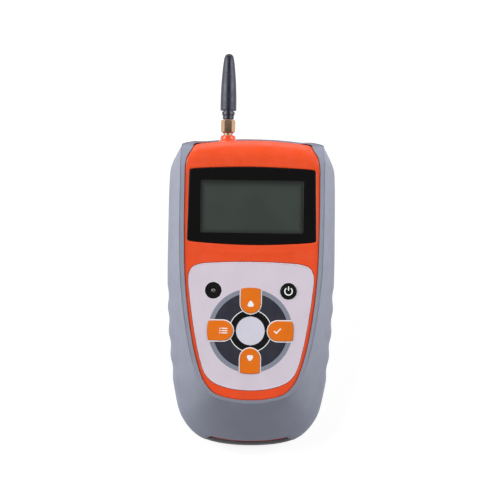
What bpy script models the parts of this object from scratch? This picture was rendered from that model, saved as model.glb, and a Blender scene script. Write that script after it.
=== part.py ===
"""Handheld radio transceiver with a screw-on stub antenna, lying on its back.

Metres, +Z up. X runs across the body, Y along it towards the antenna, and Z out of the display.
The origin is on the resting plane, under the middle of the whole length with the antenna.
"""

import math

import bmesh
import bpy
from mathutils import Vector

# Body and its two shells
BODY_WIDTH = 0.1084
BODY_LENGTH = 0.1994
BODY_DEPTH = 0.0450
SEAM_HEIGHT = 0.0220
WAIST_HEIGHT = 0.0195
SHELL_WALL = 0.0024
FACE_WALL = 0.0030
EDGE_ROUND = 0.0012
TOP_ROLL = 0.0120
TOP_ROLL_DROP = 0.0108
BACK_ROUND = 0.0050
BACK_EASE = 0.0025
BACK_EASE_RISE = 0.0020
BACK_DRAFT = 0.0015
BACK_DRAFT_RISE = 0.0065

# Bumper round the shells
SIDE_FLARE = 0.0111
TOP_SETBACK = 0.0021
CHIN_LENGTH = 0.0320
BUMPER_WALL = 0.0030
CHIN_WALL = 0.0060
TOP_BAND = 0.0012
LIP_RISE = 0.0010
LIP_WIDTH = 0.0030
LIP_HEEL = 0.0004
BACK_RIM_RISE = 0.0006
RIM_SETBACK = 0.0050
TOP_WINDOW_INSET = 0.0054
TOP_WINDOW_DEPTH = 0.0180
BAND_DROP = 0.0010
GRIP_START = 0.0057
GRIP_PITCH = 0.0156
GRIP_COUNT = 4
GRIP_DEPTH = 0.0008
SLOT_END_INSET = 0.0255
SLOT_FRONT_RISE = 0.0015
SLOT_HEIGHT = 0.0120
SLOT_END_ROUND = 0.0030
LAND_DROP = 0.0005
LAND_SHARE = 0.6
LAND_ROOT = 0.0019
SHOULDER_SHARE = 0.7
SHOULDER_GRIP = 0.5
SIDE_KNEE_DRAW = 0.0006
SIDE_KNEE_HEIGHT = 0.0117
SIDE_FOOT_DRAW = 0.0020
SIDE_FOOT_HEIGHT = 0.0043
SIDE_FOOT_GRIP = 0.6

# Clearances
FIT_GAP = 0.0003
BUMPER_GAP = 0.0006
SIDE_RELIEF = 0.0008
SEAT_GAP = 0.0002
FLUSH_DROP = 0.0001

# Seam gasket
GASKET_THICKNESS = 0.0006
GASKET_WIDTH = 0.0017

# Display
LENS_BORDER = 0.0022
LENS_DRAW = 0.0009
LENS_DROP = 0.0171
LENS_HEIGHT = 0.0494
LENS_TOP_RISE = 0.0018
LENS_BOTTOM_RISE = 0.0024
LENS_CORNER = 0.0020
LENS_THICKNESS = 0.0012
TAPE_THICKNESS = 0.0003
TAPE_MARGIN = 0.0008
VIEW_SIDE_BORDER = 0.0079
VIEW_END_BORDER = 0.0075
VIEW_MARGIN = 0.0010
PANEL_BORDER = 0.0030
PANEL_THICKNESS = 0.0025
BEZEL_BORDER = 0.0015
BEZEL_THICKNESS = 0.0005
BACKLIGHT_THICKNESS = 0.0042

# Keypad
OVERLAY_BORDER = 0.0032
OVERLAY_FOOT = 0.0062
OVERLAY_GAP = 0.0109
OVERLAY_THICKNESS = 0.0005
DIAL_FOOT = 0.0441
KEY_INNER_RADIUS = 0.0107
KEY_OUTER_RADIUS = 0.0273
KEY_WIDTH = 0.0126
KEY_PROUD = 0.0005
KEY_EDGE = 0.0004
KEY_FLANGE = 0.0011
KEY_FLANGE_THICKNESS = 0.0009
KEY_STEM_RADIUS = 0.0020
KEY_TRAVEL = 0.0005
ROUND_KEY_RADIUS = 0.0052
ROUND_KEY_SIDE = 0.0160
ROUND_KEY_RISE = 0.0255
LAMP_RADIUS = 0.0016
LAMP_DOME = 0.0010
BEZEL_DEPTH = 0.0020
SWITCH_SIDE = 0.0060
SWITCH_HEIGHT = 0.0034
PLUNGER_RADIUS = 0.0016
PLUNGER_STANDOUT = 0.0009
PLUNGER_INSERT = 0.0012

# Main board and what it carries
BOARD_SIDE_MARGIN = 0.0071
BOARD_FOOT_DRAW = 0.0090
BOARD_TAPER_LENGTH = 0.0480
BOARD_THICKNESS = 0.0016
BOARD_TOP_MARGIN = 0.0100
BOARD_FOOT_MARGIN = 0.0010
BOARD_POST_RADIUS = 0.0030
BOARD_POST_TOP_SIDE = 0.0040
BOARD_POST_TOP_INSET = 0.0050
BOARD_POST_FOOT_SIDE = 0.0050
BOARD_POST_FOOT_INSET = 0.0140
BOARD_SCREW_RADIUS = 0.0010
BOARD_SCREW_HEAD_RADIUS = 0.0022
BOARD_SCREW_HEAD = 0.0015
BOARD_SCREW_LENGTH = 0.0060
SHIELD_LENGTH = 0.0260
SHIELD_SCREW_GAP = 0.0038
SHIELD_HEIGHT = 0.0032
SHIELD_FROM_TOP = 0.0180
BUZZER_RADIUS = 0.0062
BUZZER_HEIGHT = 0.0055
BUZZER_X = 0.0160

# Antenna and its screw coupling
ANTENNA_OFFSET = 0.0160
BOSS_BASE_RADIUS = 0.0056
BOSS_TOP_RADIUS = 0.0043
BOSS_HEIGHT = 0.0032
BOSS_ROOT = 0.0050
JACK_RADIUS = 0.0031
JACK_REACH = 0.0061
JACK_BORE_RADIUS = 0.0020
JACK_BORE_DEPTH = 0.0040
JACK_FLANGE_SIDE = 0.0074
JACK_FLANGE_THICKNESS = 0.0020
JACK_LEG_LENGTH = 0.0040
JACK_LEG_THICKNESS = 0.0010
NUT_STANDOFF = 0.0016
NUT_LENGTH = 0.0084
NUT_ACROSS_FLATS = 0.0080
NUT_SEAT_THICKNESS = 0.0024
NUT_SEAT_RADIUS = 0.0023
NUT_CHAMFER = 0.0004
COLLAR_SHOULDER_RADIUS = 0.0029
COLLAR_SHOULDER_THICKNESS = 0.0007
COLLAR_NECK_RADIUS = 0.0036
COLLAR_NECK_LENGTH = 0.0028
COLLAR_RING_RADIUS = 0.0041
COLLAR_RING_LENGTH = 0.0028
COLLAR_TENON = 0.0014
COLLAR_BORE_RADIUS = 0.0012
SLEEVE_LENGTH = 0.0367
SLEEVE_BASE_RADIUS = 0.00515
SLEEVE_TIP_RADIUS = 0.0036
SLEEVE_BORE_RADIUS = 0.0013
SLEEVE_TIP_WALL = 0.0040
SLEEVE_DOME = 0.0050
SLEEVE_TAPER = 1.8
PIN_RADIUS = 0.0006
PIN_REACH = 0.0025
ELEMENT_RADIUS = 0.0010

# Battery bay and its door
CELL_RADIUS = 0.0071
CELL_LENGTH = 0.0492
CELL_CAP_RADIUS = 0.0027
CELL_CAP_LENGTH = 0.0010
CELL_PITCH = 0.0150
CELL_COUNT = 3
SPRING_LENGTH = 0.0048
SPRING_BASE_RADIUS = 0.0046
SPRING_TIP_RADIUS = 0.0028
SPRING_WIRE_RADIUS = 0.0004
SPRING_TURNS = 3
SPRING_STEPS = 9
CONTACT_THICKNESS = 0.0006
CONTACT_SIDE = 0.0090
BAY_CENTRE = -0.0410
BAY_WALL = 0.0016
DOOR_THICKNESS = 0.0020
DOOR_SIDE_LEDGE = 0.0036
DOOR_END_LEDGE = 0.0072
DOOR_CORNER = 0.0030
SEAL_THICKNESS = 0.0008
SEAL_WIDTH = 0.0014
SEAL_INSET = 0.0010
DOOR_SCREW_RADIUS = 0.0012
DOOR_SCREW_HEAD_RADIUS = 0.0024
DOOR_SCREW_HEAD = 0.0012
DOOR_SCREW_LENGTH = 0.0080
LEAD_RADIUS = 0.0006
LEAD_STRAIGHT = 0.0010
LEAD_SHIFT = 0.0080

# Case screws
CASE_SCREW_TOP_SIDE = 0.0142
CASE_SCREW_TOP_INSET = 0.0240
CASE_SCREW_FOOT_SIDE = 0.0182
CASE_SCREW_FOOT_INSET = 0.0470
CASE_BOSS_RADIUS = 0.0036
CASE_BOSS_TOP_SHARE = 0.605
CASE_BOSS_FOOT_SHARE = 0.279
CASE_SCREW_RADIUS = 0.0014
CASE_SCREW_HEAD_RADIUS = 0.0027
CASE_SCREW_HEAD = 0.0020
CASE_SCREW_SINK = 0.0080
CASE_SCREW_BITE = 0.0036

# Roundness
ROUND_SIDES = 20
SMALL_SIDES = 12
OUTLINE_STEPS = 2
GRIP_STEPS = 8
KEY_END_STEPS = 12
KEY_RIM_STEPS = 6
ROLL_STEPS = 4
LEAD_STEPS = 10
WIRE_RESOLUTION = 1
SLEEVE_STEPS = 5
DOME_STEPS = 4
SMOOTH_ANGLE = math.radians(32)

# Shares of half width and half length, from the top middle round the right side to the bottom middle
BODY_SHAPE = ((0, 1), (0.443, 0.990), (0.803, 0.964), (0.871, 0.931), (0.934, 0.859), (0.978, 0.804),
              (0.991, 0.722), (0.999, 0.401), (1, 0.100), (0.982, -0.201), (0.948, -0.421),
              (0.902, -0.622), (0.804, -0.818), (0.572, -0.949), (0, -1))
FRONT_SHAPE = ((0, 1), (0.464, 0.9946), (0.845, 0.980), (0.882, 0.964), (0.958, 0.9335), (0.995, 0.898),
               (1, 0.845), (1, 0.6515), (0.979, 0.470), (0.907, 0.298), (0.803, 0.1615),
               (0.673, 0.069), (0.522, 0.026), (0.278, 0.006), (0, 0))
LIP_SHAPE = ((0, 1), (0.52, 0.994), (0.925, 0.980), (0.978, 0.9635), (0.996, 0.926), (1, 0.891),
             (1, 0.841), (1, 0.652), (0.981, 0.4755), (0.911, 0.306), (0.811, 0.170),
             (0.681, 0.0755), (0.521, 0.028), (0.271, 0.008), (0, 0))
FACE_SHAPE = ((0, 1), (0.454, 0.997), (0.776, 0.989), (0.859, 0.980), (0.940, 0.963), (0.988, 0.941),
              (1, 0.897), (1, 0.700), (0.9785, 0.503), (0.9045, 0.318), (0.7995, 0.172),
              (0.671, 0.074), (0.523, 0.028), (0.282, 0.007), (0, 0))
OVERLAY_SHAPE = ((0, 1), (0.501, 0.994), (0.817, 0.980), (0.932, 0.956), (0.988, 0.909), (1, 0.851),
                 (0.985, 0.771), (0.942, 0.606), (0.862, 0.373), (0.777, 0.202), (0.709, 0.122),
                 (0.584, 0.061), (0.326, 0.015), (0, 0))
# How much of the roll at the front edge belongs to each point of FRONT_SHAPE, from none to all
ROLL_SHARE = (1, 1, 1, 0.65, 0.25, 0.06, 0, 0, 0, 0, 0, 0, 0, 0, 0)
GRIP_SPANS = (8, 9, 10)

# Places that follow from the sizes
HALF_WIDTH = BODY_WIDTH / 2
HALF_LENGTH = BODY_LENGTH / 2
FACE_Z = BODY_DEPTH - LIP_RISE
FRONT_HALF_WIDTH = HALF_WIDTH - SIDE_FLARE
TOP_WINDOW_HALF_WIDTH = FRONT_HALF_WIDTH - TOP_WINDOW_INSET
SLOT_HALF_WIDTH = HALF_WIDTH - SLOT_END_INSET
FRONT_TOP = HALF_LENGTH - TOP_SETBACK
FRONT_FOOT = CHIN_LENGTH - HALF_LENGTH
LIP_TOP = HALF_LENGTH - TOP_SETBACK / 3
SHELL_TOP = HALF_LENGTH - TOP_BAND - BUMPER_GAP
FRONT_RIM_Z = SEAM_HEIGHT + GASKET_THICKNESS / 2 + SEAT_GAP
REAR_RIM_Z = SEAM_HEIGHT - GASKET_THICKNESS / 2 - SEAT_GAP
INNER_FACE_Z = FACE_Z - FACE_WALL
LENS_TOP = FRONT_TOP - LENS_DROP
LENS_FOOT = LENS_TOP - LENS_HEIGHT
VIEW_CENTRE = (LENS_TOP + LENS_FOOT) / 2
LENS_HALF_WIDTH = FRONT_HALF_WIDTH - LENS_BORDER
VIEW_HALF_WIDTH = LENS_HALF_WIDTH - VIEW_SIDE_BORDER
VIEW_HALF_HEIGHT = LENS_HEIGHT / 2 - VIEW_END_BORDER
PANEL_HALF_WIDTH = VIEW_HALF_WIDTH + PANEL_BORDER
PANEL_HALF_HEIGHT = VIEW_HALF_HEIGHT + PANEL_BORDER
LENS_TOP_Z = FACE_Z - FLUSH_DROP
TAPE_TOP_Z = LENS_TOP_Z - LENS_THICKNESS - SEAT_GAP
LENS_SEAT_Z = TAPE_TOP_Z - TAPE_THICKNESS - SEAT_GAP
BEZEL_TOP_Z = INNER_FACE_Z - SEAT_GAP
PANEL_TOP_Z = BEZEL_TOP_Z - BEZEL_THICKNESS - SEAT_GAP
BACKLIGHT_TOP_Z = PANEL_TOP_Z - PANEL_THICKNESS - SEAT_GAP
BOARD_TOP_Z = BACKLIGHT_TOP_Z - BACKLIGHT_THICKNESS - SEAT_GAP
BOARD_FOOT_Z = BOARD_TOP_Z - BOARD_THICKNESS
OVERLAY_TOP = LENS_FOOT - OVERLAY_GAP
OVERLAY_FOOT_Y = FRONT_FOOT + OVERLAY_FOOT
OVERLAY_TOP_Z = FACE_Z - FLUSH_DROP
OVERLAY_SEAT_Z = OVERLAY_TOP_Z - OVERLAY_THICKNESS - SEAT_GAP
DIAL_Y = FRONT_FOOT + DIAL_FOOT
KEY_TOP_Z = FACE_Z + KEY_PROUD
FLANGE_TOP_Z = INNER_FACE_Z - SEAT_GAP
SWITCH_FOOT_Z = BOARD_TOP_Z + SEAT_GAP
SWITCH_TOP_Z = SWITCH_FOOT_Z + SWITCH_HEIGHT
PLUNGER_TOP_Z = SWITCH_TOP_Z + PLUNGER_STANDOUT
BOARD_TOP = SHELL_TOP - BOARD_TOP_MARGIN
BOARD_FOOT = FRONT_FOOT - BOARD_FOOT_MARGIN
BOARD_HALF_WIDTH = FRONT_HALF_WIDTH - BOARD_SIDE_MARGIN
BOARD_FOOT_HALF_WIDTH = BOARD_HALF_WIDTH - BOARD_FOOT_DRAW
BOARD_POST_TOP_X = BOARD_HALF_WIDTH - BOARD_POST_TOP_SIDE
BOARD_POST_FOOT_X = BOARD_FOOT_HALF_WIDTH - BOARD_POST_FOOT_SIDE
SHIELD_HALF_WIDTH = BOARD_POST_TOP_X - BOARD_SCREW_HEAD_RADIUS - SHIELD_SCREW_GAP - ANTENNA_OFFSET
ROUND_KEY_SPREAD = FRONT_HALF_WIDTH - OVERLAY_BORDER - ROUND_KEY_SIDE
FRONT_DEPTH = FACE_Z - FRONT_RIM_Z
ANTENNA_Z = BOARD_TOP_Z - BOARD_THICKNESS / 2
BOSS_TOP = SHELL_TOP + BOSS_HEIGHT
JACK_TOP = BOSS_TOP + JACK_REACH
NUT_FOOT = BOSS_TOP + NUT_STANDOFF
NUT_TOP = NUT_FOOT + NUT_LENGTH
NUT_SEAT = NUT_TOP - NUT_SEAT_THICKNESS
COLLAR_FOOT = NUT_TOP + SEAT_GAP
RING_FOOT = COLLAR_FOOT + COLLAR_NECK_LENGTH
SLEEVE_FOOT = RING_FOOT + COLLAR_RING_LENGTH
SLEEVE_TIP = SLEEVE_FOOT + SLEEVE_LENGTH
MIDDLE = (SLEEVE_TIP - HALF_LENGTH + LAND_DROP) / 2
REAR_FLOOR_Z = BACK_RIM_RISE + SHELL_WALL
BACK_LEVELS = ((BACK_ROUND, BACK_RIM_RISE), (BACK_EASE, BACK_RIM_RISE + BACK_EASE_RISE),
               (BACK_DRAFT, BACK_RIM_RISE + BACK_DRAFT_RISE))
BAY_HALF_WIDTH = CELL_PITCH * (CELL_COUNT - 1) / 2 + CELL_RADIUS + FIT_GAP
BAY_HALF_LENGTH = (CELL_LENGTH + CELL_CAP_LENGTH + SPRING_LENGTH + CONTACT_THICKNESS) / 2 + 2 * FIT_GAP
DOOR_TOP_Z = BACK_RIM_RISE + DOOR_THICKNESS
SEAL_FOOT_Z = DOOR_TOP_Z + SEAT_GAP
LEDGE_Z = SEAL_FOOT_Z + SEAL_THICKNESS + SEAT_GAP
CELL_Z = LEDGE_Z + CELL_RADIUS
BAY_TOP_Z = CELL_Z + CELL_RADIUS + FIT_GAP
BAY_ROOF_Z = BAY_TOP_Z + BAY_WALL
DOOR_HALF_WIDTH = BAY_HALF_WIDTH + DOOR_SIDE_LEDGE - FIT_GAP
DOOR_HALF_LENGTH = BAY_HALF_LENGTH + DOOR_END_LEDGE - FIT_GAP
DOOR_SCREW_REACH = BAY_HALF_LENGTH + DOOR_END_LEDGE / 2
# Below the shoulder: share of the ripples' depth, distance in from the widest outline, and height
SIDE_LEVELS = ((1, 0, WAIST_HEIGHT), (1, SIDE_KNEE_DRAW, SIDE_KNEE_HEIGHT),
               (SIDE_FOOT_GRIP, SIDE_FOOT_DRAW, SIDE_FOOT_HEIGHT))
CASE_SEAT_Z = BACK_RIM_RISE + CASE_SCREW_SINK
CASE_SCREW_TOP_X = HALF_WIDTH - CASE_SCREW_TOP_SIDE
CASE_SCREW_FOOT_X = HALF_WIDTH - CASE_SCREW_FOOT_SIDE


def clear_scene():
    """Remove every object that is in the scene."""
    for item in list(bpy.data.objects):
        bpy.data.objects.remove(item)


def plastic(name, colour, roughness, metallic=0.0):
    """Make a Principled material of one colour."""
    material = bpy.data.materials.new(name)
    material.use_nodes = True
    shader = material.node_tree.nodes["Principled BSDF"]
    shader.inputs["Base Color"].default_value = (*colour, 1.0)
    shader.inputs["Roughness"].default_value = roughness
    shader.inputs["Metallic"].default_value = metallic
    return material


class Bench:
    """Places finished objects and cutters under one parent empty."""

    def __init__(self):
        self.root = bpy.data.objects.new("transceiver", None)
        self.root.location = (0, -MIDDLE, 0)
        bpy.context.scene.collection.objects.link(self.root)

    def place(self, name, data, location, rotation):
        """Link an object under the parent empty."""
        item = bpy.data.objects.new(name, data)
        bpy.context.scene.collection.objects.link(item)
        item.parent = self.root
        item.location = location
        item.rotation_euler = rotation
        return item

    def add(self, name, shape, material, location=(0, 0, 0), rotation=(0, 0, 0)):
        """Turn a bmesh into a named, smooth-shaded sub-part."""
        mesh = bpy.data.meshes.new(name)
        shape.to_mesh(mesh)
        shape.free()
        mesh.materials.append(material)
        mesh.shade_smooth()
        mesh.set_sharp_from_angle(angle=SMOOTH_ANGLE)
        return self.place(name, mesh, location, rotation)

    def boolean(self, item, shape, operation, location=(0, 0, 0), rotation=(0, 0, 0)):
        """Cut a shape out of an object, or join one to it, through a hidden helper."""
        count = len(item.modifiers) + 1
        name = f"{item.name}_tool_{count}"
        mesh = bpy.data.meshes.new(name)
        shape.to_mesh(mesh)
        shape.free()
        tool = self.place(name, mesh, location, rotation)
        tool.hide_render = True
        tool.display_type = "WIRE"
        modifier = item.modifiers.new(name, "BOOLEAN")
        modifier.operation = operation
        modifier.object = tool

    def cut(self, item, shape, location=(0, 0, 0), rotation=(0, 0, 0)):
        """Take a shape away from an object."""
        self.boolean(item, shape, "DIFFERENCE", location, rotation)

    def join(self, item, shape, location=(0, 0, 0), rotation=(0, 0, 0)):
        """Fuse a shape to an object."""
        self.boolean(item, shape, "UNION", location, rotation)


ALONG_Y = (-math.pi / 2, 0, 0)


def spline_span(p0, p1, p2, p3, share):
    """Give a point between p1 and p2 on a centripetal curve through four points."""
    knots = [0.0]
    for start, end in ((p0, p1), (p1, p2), (p2, p3)):
        knots.append(knots[-1] + math.sqrt((end - start).length))
    t = knots[1] + (knots[2] - knots[1]) * share

    def mix(a, b, low, high):
        return a * ((knots[high] - t) / (knots[high] - knots[low])) + b * (
            (t - knots[low]) / (knots[high] - knots[low]))

    a1, a2, a3 = mix(p0, p1, 0, 1), mix(p1, p2, 1, 2), mix(p2, p3, 2, 3)
    b1, b2 = mix(a1, a2, 0, 2), mix(a2, a3, 1, 3)
    return mix(b1, b2, 1, 2)


def steps_in(span, fine_spans):
    """Say how many samples a span of an outline takes."""
    return GRIP_STEPS if span in fine_spans else OUTLINE_STEPS


def round_outline(points, fine_spans=()):
    """Draw a smooth closed outline through right-hand points, mirrored to the left."""
    points = [Vector(point) for point in points]
    flip = Vector((-1, 1))
    padded = [points[1] * flip, *points, points[-2] * flip]
    right = []
    for span in range(len(points) - 1):
        steps = steps_in(span, fine_spans)
        right += [spline_span(*padded[span:span + 4], step / steps) for step in range(steps)]
    right.append(points[-1])
    return right + [point * flip for point in reversed(right[1:-1])]


def spread(values, fine_spans=()):
    """Spread one value per outline point over all samples of the closed outline."""
    right = []
    for span in range(len(values) - 1):
        steps = steps_in(span, fine_spans)
        right += [values[span] + (values[span + 1] - values[span]) * step / steps for step in range(steps)]
    right.append(values[-1])
    return right + right[-2:0:-1]


def fitted(shape, half_width, foot, top):
    """Scale an outline's shares into a box."""
    return [(x * half_width, foot + (top - foot) * y) for x, y in shape]


def inset(outline, distance):
    """Move every point of a clockwise outline inwards, by one distance or by one for each point."""
    count = len(outline)
    distances = distance if isinstance(distance, list) else [distance] * count
    moved = []
    for index, point in enumerate(outline):
        tangent = outline[(index + 1) % count] - outline[index - 1]
        inward = Vector((tangent.y, -tangent.x)).normalized()
        moved.append(point + inward * distances[index])
    return moved


def shrink(outline, distance):
    """Draw the body's outline in towards its middle, by a distance at the widest points."""
    return [Vector((point.x * (1 - distance / HALF_WIDTH), point.y * (1 - distance / HALF_LENGTH)))
            for point in outline]


def blend(first, second, shares):
    """Mix two outlines point by point."""
    return [a.lerp(b, share) for a, b, share in zip(first, second, shares)]


def at_height(outline, heights):
    """Lift a flat outline to one height, or to one for each point."""
    levels = heights if isinstance(heights, list) else [heights] * len(outline)
    return [Vector((point.x, point.y, level)) for point, level in zip(outline, levels)]


def loft(rings, closed=False):
    """Join rings of equal count by extruding edges from one to the next, capped or closed on itself."""
    shape = bmesh.new()
    first = [shape.verts.new(point) for point in rings[0]]
    edges = [shape.edges.new(pair) for pair in zip(first, first[1:] + first[:1])]
    if not closed:
        shape.faces.new(first)
    current = first
    for ring in rings[1:]:
        grown = bmesh.ops.extrude_edge_only(shape, edges=edges)["geom"]
        edges = [part for part in grown if isinstance(part, bmesh.types.BMEdge)]
        fresh = {tuple(part.co): part for part in grown if isinstance(part, bmesh.types.BMVert)}
        current = [fresh[tuple(old.co)] for old in current]
        for vertex, point in zip(current, ring):
            vertex.co = point
    if closed:
        bmesh.ops.remove_doubles(shape, verts=shape.verts, dist=1e-7)
    else:
        shape.faces.new(current)
    bmesh.ops.recalc_face_normals(shape, faces=shape.faces)
    return shape


def prism(outline, foot, top):
    """Extrude a flat outline between two heights."""
    return loft([at_height(outline, foot), at_height(outline, top)])


def frame(outer, inner, foot, top):
    """Extrude the band between two outlines of equal count."""
    rings = [at_height(outer, foot), at_height(outer, top), at_height(inner, top), at_height(inner, foot)]
    return loft([*rings, rings[0]], closed=True)


def block(half_x, half_y, foot, top, centre=(0, 0)):
    """Make a box from half sizes and two heights."""
    x, y = centre
    corners = ((x - half_x, y + half_y), (x + half_x, y + half_y), (x + half_x, y - half_y),
               (x - half_x, y - half_y))
    return prism([Vector(corner) for corner in corners], foot, top)


def circle(radius, centre=(0, 0), sides=ROUND_SIDES):
    """Draw a clockwise circle."""
    turns = [-2 * math.pi * index / sides for index in range(sides)]
    x, y = centre
    return [Vector((x + radius * math.cos(turn), y + radius * math.sin(turn))) for turn in turns]


def rod(radius, foot, top, centre=(0, 0), sides=SMALL_SIDES):
    """Make an upright cylinder."""
    return prism(circle(radius, centre, sides), foot, top)


def round_box(half_x, half_y, corner, centre=(0, 0), steps=4):
    """Draw a clockwise rectangle with round corners."""
    outline = []
    for sign_x, sign_y, start in ((1, 1, 90), (1, -1, 0), (-1, -1, -90), (-1, 1, -180)):
        for step in range(steps + 1):
            turn = math.radians(start - 90 * step / steps)
            outline.append(Vector((centre[0] + sign_x * (half_x - corner) + corner * math.cos(turn),
                                   centre[1] + sign_y * (half_y - corner) + corner * math.sin(turn))))
    return outline


def turned(profile, sides=ROUND_SIDES):
    """Spin a closed profile of radius and height pairs about Z."""
    shape = bmesh.new()
    points = [shape.verts.new((radius, 0, height)) for radius, height in profile]
    edges = [shape.edges.new(pair) for pair in zip(points, points[1:] + points[:1])
             if pair[0].co.x > 0 or pair[1].co.x > 0]
    bmesh.ops.spin(shape, geom=points + edges, axis=(0, 0, 1), cent=(0, 0, 0), angle=2 * math.pi,
                   steps=sides, use_merge=True)
    bmesh.ops.remove_doubles(shape, verts=shape.verts, dist=1e-7)
    bmesh.ops.dissolve_degenerate(shape, edges=shape.edges, dist=1e-7)
    bmesh.ops.recalc_face_normals(shape, faces=shape.faces)
    return shape


class Outlines:
    """The body's main outlines, point for point in step with each other."""

    def __init__(self, fine_spans=()):
        body = [(x * HALF_WIDTH, y * HALF_LENGTH) for x, y in BODY_SHAPE]
        self.body = round_outline(body, fine_spans)
        front = fitted(FRONT_SHAPE, FRONT_HALF_WIDTH, FRONT_FOOT, FRONT_TOP)
        self.front = round_outline(front, fine_spans)
        lip = fitted(LIP_SHAPE, FRONT_HALF_WIDTH + LIP_WIDTH, FRONT_FOOT - LIP_WIDTH, LIP_TOP)
        self.lip = round_outline(lip, fine_spans)
        face_half = FRONT_HALF_WIDTH - EDGE_ROUND
        face = fitted(FACE_SHAPE, face_half, FRONT_FOOT + EDGE_ROUND, FRONT_TOP - TOP_ROLL)
        self.face = round_outline(face, fine_spans)
        self.core = inset(self.body, [self.wall(point) + BUMPER_GAP for point in self.body])
        drop = spread(ROLL_SHARE, fine_spans)
        self.roll_depths = [EDGE_ROUND + (TOP_ROLL_DROP - EDGE_ROUND) * share for share in drop]
        self.lip_drops = [TOP_ROLL_DROP * share for share in drop]

    @staticmethod
    def wall(point):
        """Give the bumper's wall, which thins to a band along the top edge and thickens round the chin."""
        if point.y < 0:
            share = min(-point.y / (HALF_LENGTH - CHIN_LENGTH), 1.0)
            return BUMPER_WALL + (CHIN_WALL - BUMPER_WALL) * share ** 3
        start, end = TOP_WINDOW_HALF_WIDTH, TOP_WINDOW_HALF_WIDTH + 3 * BUMPER_WALL
        share = min(max((abs(point.x) - start) / (end - start), 0.0), 1.0)
        return TOP_BAND + (BUMPER_WALL - TOP_BAND) * share

    def slope(self, depths):
        """Give the shell's side below the roll, at depths from the face, as an outline and its heights."""
        height = FACE_Z - FRONT_RIM_Z
        shares = [(depth - roll) / (height - roll) for depth, roll in zip(depths, self.roll_depths)]
        return blend(self.front, self.core, shares), [FACE_Z - depth for depth in depths]

    def half_slope(self):
        """Give the slanted side half way between the roll and the rim."""
        height = FACE_Z - FRONT_RIM_Z
        return self.slope([(depth + height) / 2 for depth in self.roll_depths])

    def gripped(self, depth_share):
        """Give the widest outline with its finger ripples at a share of their depth."""
        depths = []
        for point in self.body:
            run = (GRIP_START - point.y) / GRIP_PITCH
            wave = (1 - math.cos(2 * math.pi * run)) / 2 if 0 <= run <= GRIP_COUNT else 0.0
            depths.append(GRIP_DEPTH * depth_share * wave)
        return inset(self.body, depths)


def lens_outline(margin):
    """Draw the lens with bowed top and bottom edges, shrunk by a margin."""
    foot_half = LENS_HALF_WIDTH - margin
    top_half = foot_half - LENS_DRAW
    top, foot, corner = LENS_TOP - margin, LENS_FOOT + margin, LENS_CORNER

    def bow(edge, rise, half, x):
        return edge - rise * (x / half) ** 2

    near = corner * (1 - math.sqrt(0.5))
    points = [(0, top), (top_half / 2, bow(top, LENS_TOP_RISE, top_half, top_half / 2)),
              (top_half - corner, bow(top, LENS_TOP_RISE, top_half, top_half - corner)),
              (top_half - near, top - LENS_TOP_RISE - near), (top_half, top - LENS_TOP_RISE - corner),
              (foot_half, foot + LENS_BOTTOM_RISE + corner),
              (foot_half - near, foot + LENS_BOTTOM_RISE + near),
              (foot_half - corner, bow(foot, -LENS_BOTTOM_RISE, foot_half, foot_half - corner)),
              (foot_half / 2, bow(foot, -LENS_BOTTOM_RISE, foot_half, foot_half / 2)), (0, foot)]
    return round_outline(points)


def overlay_outline():
    """Draw the keypad overlay."""
    half = FRONT_HALF_WIDTH - OVERLAY_BORDER
    return round_outline(fitted(OVERLAY_SHAPE, half, OVERLAY_FOOT_Y, OVERLAY_TOP))


def dial_key_outline(growth):
    """Draw a dial key about its own middle: a round inner end and an outer end on the dial's circle."""
    half = KEY_WIDTH / 2
    middle = (KEY_INNER_RADIUS + KEY_OUTER_RADIUS) / 2
    reach = half + growth
    inner_centre = KEY_INNER_RADIUS + half - middle
    outline = []
    for step in range(KEY_END_STEPS + 1):
        turn = -math.pi * step / KEY_END_STEPS
        outline.append(Vector((reach * math.cos(turn), inner_centre + reach * math.sin(turn))))
    outer = KEY_OUTER_RADIUS + growth
    spread_angle = math.asin(reach / outer)
    for step in range(KEY_RIM_STEPS + 1):
        turn = spread_angle * (2 * step / KEY_RIM_STEPS - 1)
        outline.append(Vector((outer * math.sin(turn), outer * math.cos(turn) - middle)))
    return outline


def turn_outline(outline, angle):
    """Turn an outline about its own middle."""
    cosine, sine = math.cos(angle), math.sin(angle)
    return [Vector((p.x * cosine - p.y * sine, p.x * sine + p.y * cosine)) for p in outline]


def move_outline(outline, place):
    """Move an outline to a place."""
    return [point + Vector(place) for point in outline]


class Key:
    """One push key: where it is and how it is cut out."""

    def __init__(self, name, place, material, angle=None):
        self.name = name
        self.place = place
        self.material = material
        self.angle = angle

    def outline(self, growth):
        """Draw the key's outline about its own place."""
        if self.angle is None:
            return circle(ROUND_KEY_RADIUS + growth)
        return turn_outline(dial_key_outline(growth), self.angle)

    def hole(self, growth, foot, top):
        """Make the cutter for the key's hole."""
        return prism(move_outline(self.outline(growth), self.place), foot, top)

    def solid(self):
        """Make the cap with its eased edge and the flange that holds it in."""
        cap, flange = self.outline(0), self.outline(KEY_FLANGE)
        return loft([at_height(self.outline(-KEY_EDGE), KEY_TOP_Z), at_height(cap, KEY_TOP_Z - KEY_EDGE),
                     at_height(cap, FLANGE_TOP_Z), at_height(flange, FLANGE_TOP_Z),
                     at_height(flange, FLANGE_TOP_Z - KEY_FLANGE_THICKNESS)])

    def stem(self):
        """Make the stem between the flange and the switch."""
        return rod(KEY_STEM_RADIUS, PLUNGER_TOP_Z + SEAT_GAP, FLANGE_TOP_Z - KEY_FLANGE_THICKNESS / 2)


def dial_place(angle):
    """Give the middle of a dial key at an angle from straight up."""
    radius = (KEY_INNER_RADIUS + KEY_OUTER_RADIUS) / 2
    return -radius * math.sin(angle), DIAL_Y + radius * math.cos(angle)


def lamp_place():
    """Give the lamp's place, level with the power key on the other side."""
    return -ROUND_KEY_SPREAD, DIAL_Y + ROUND_KEY_RISE


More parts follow.
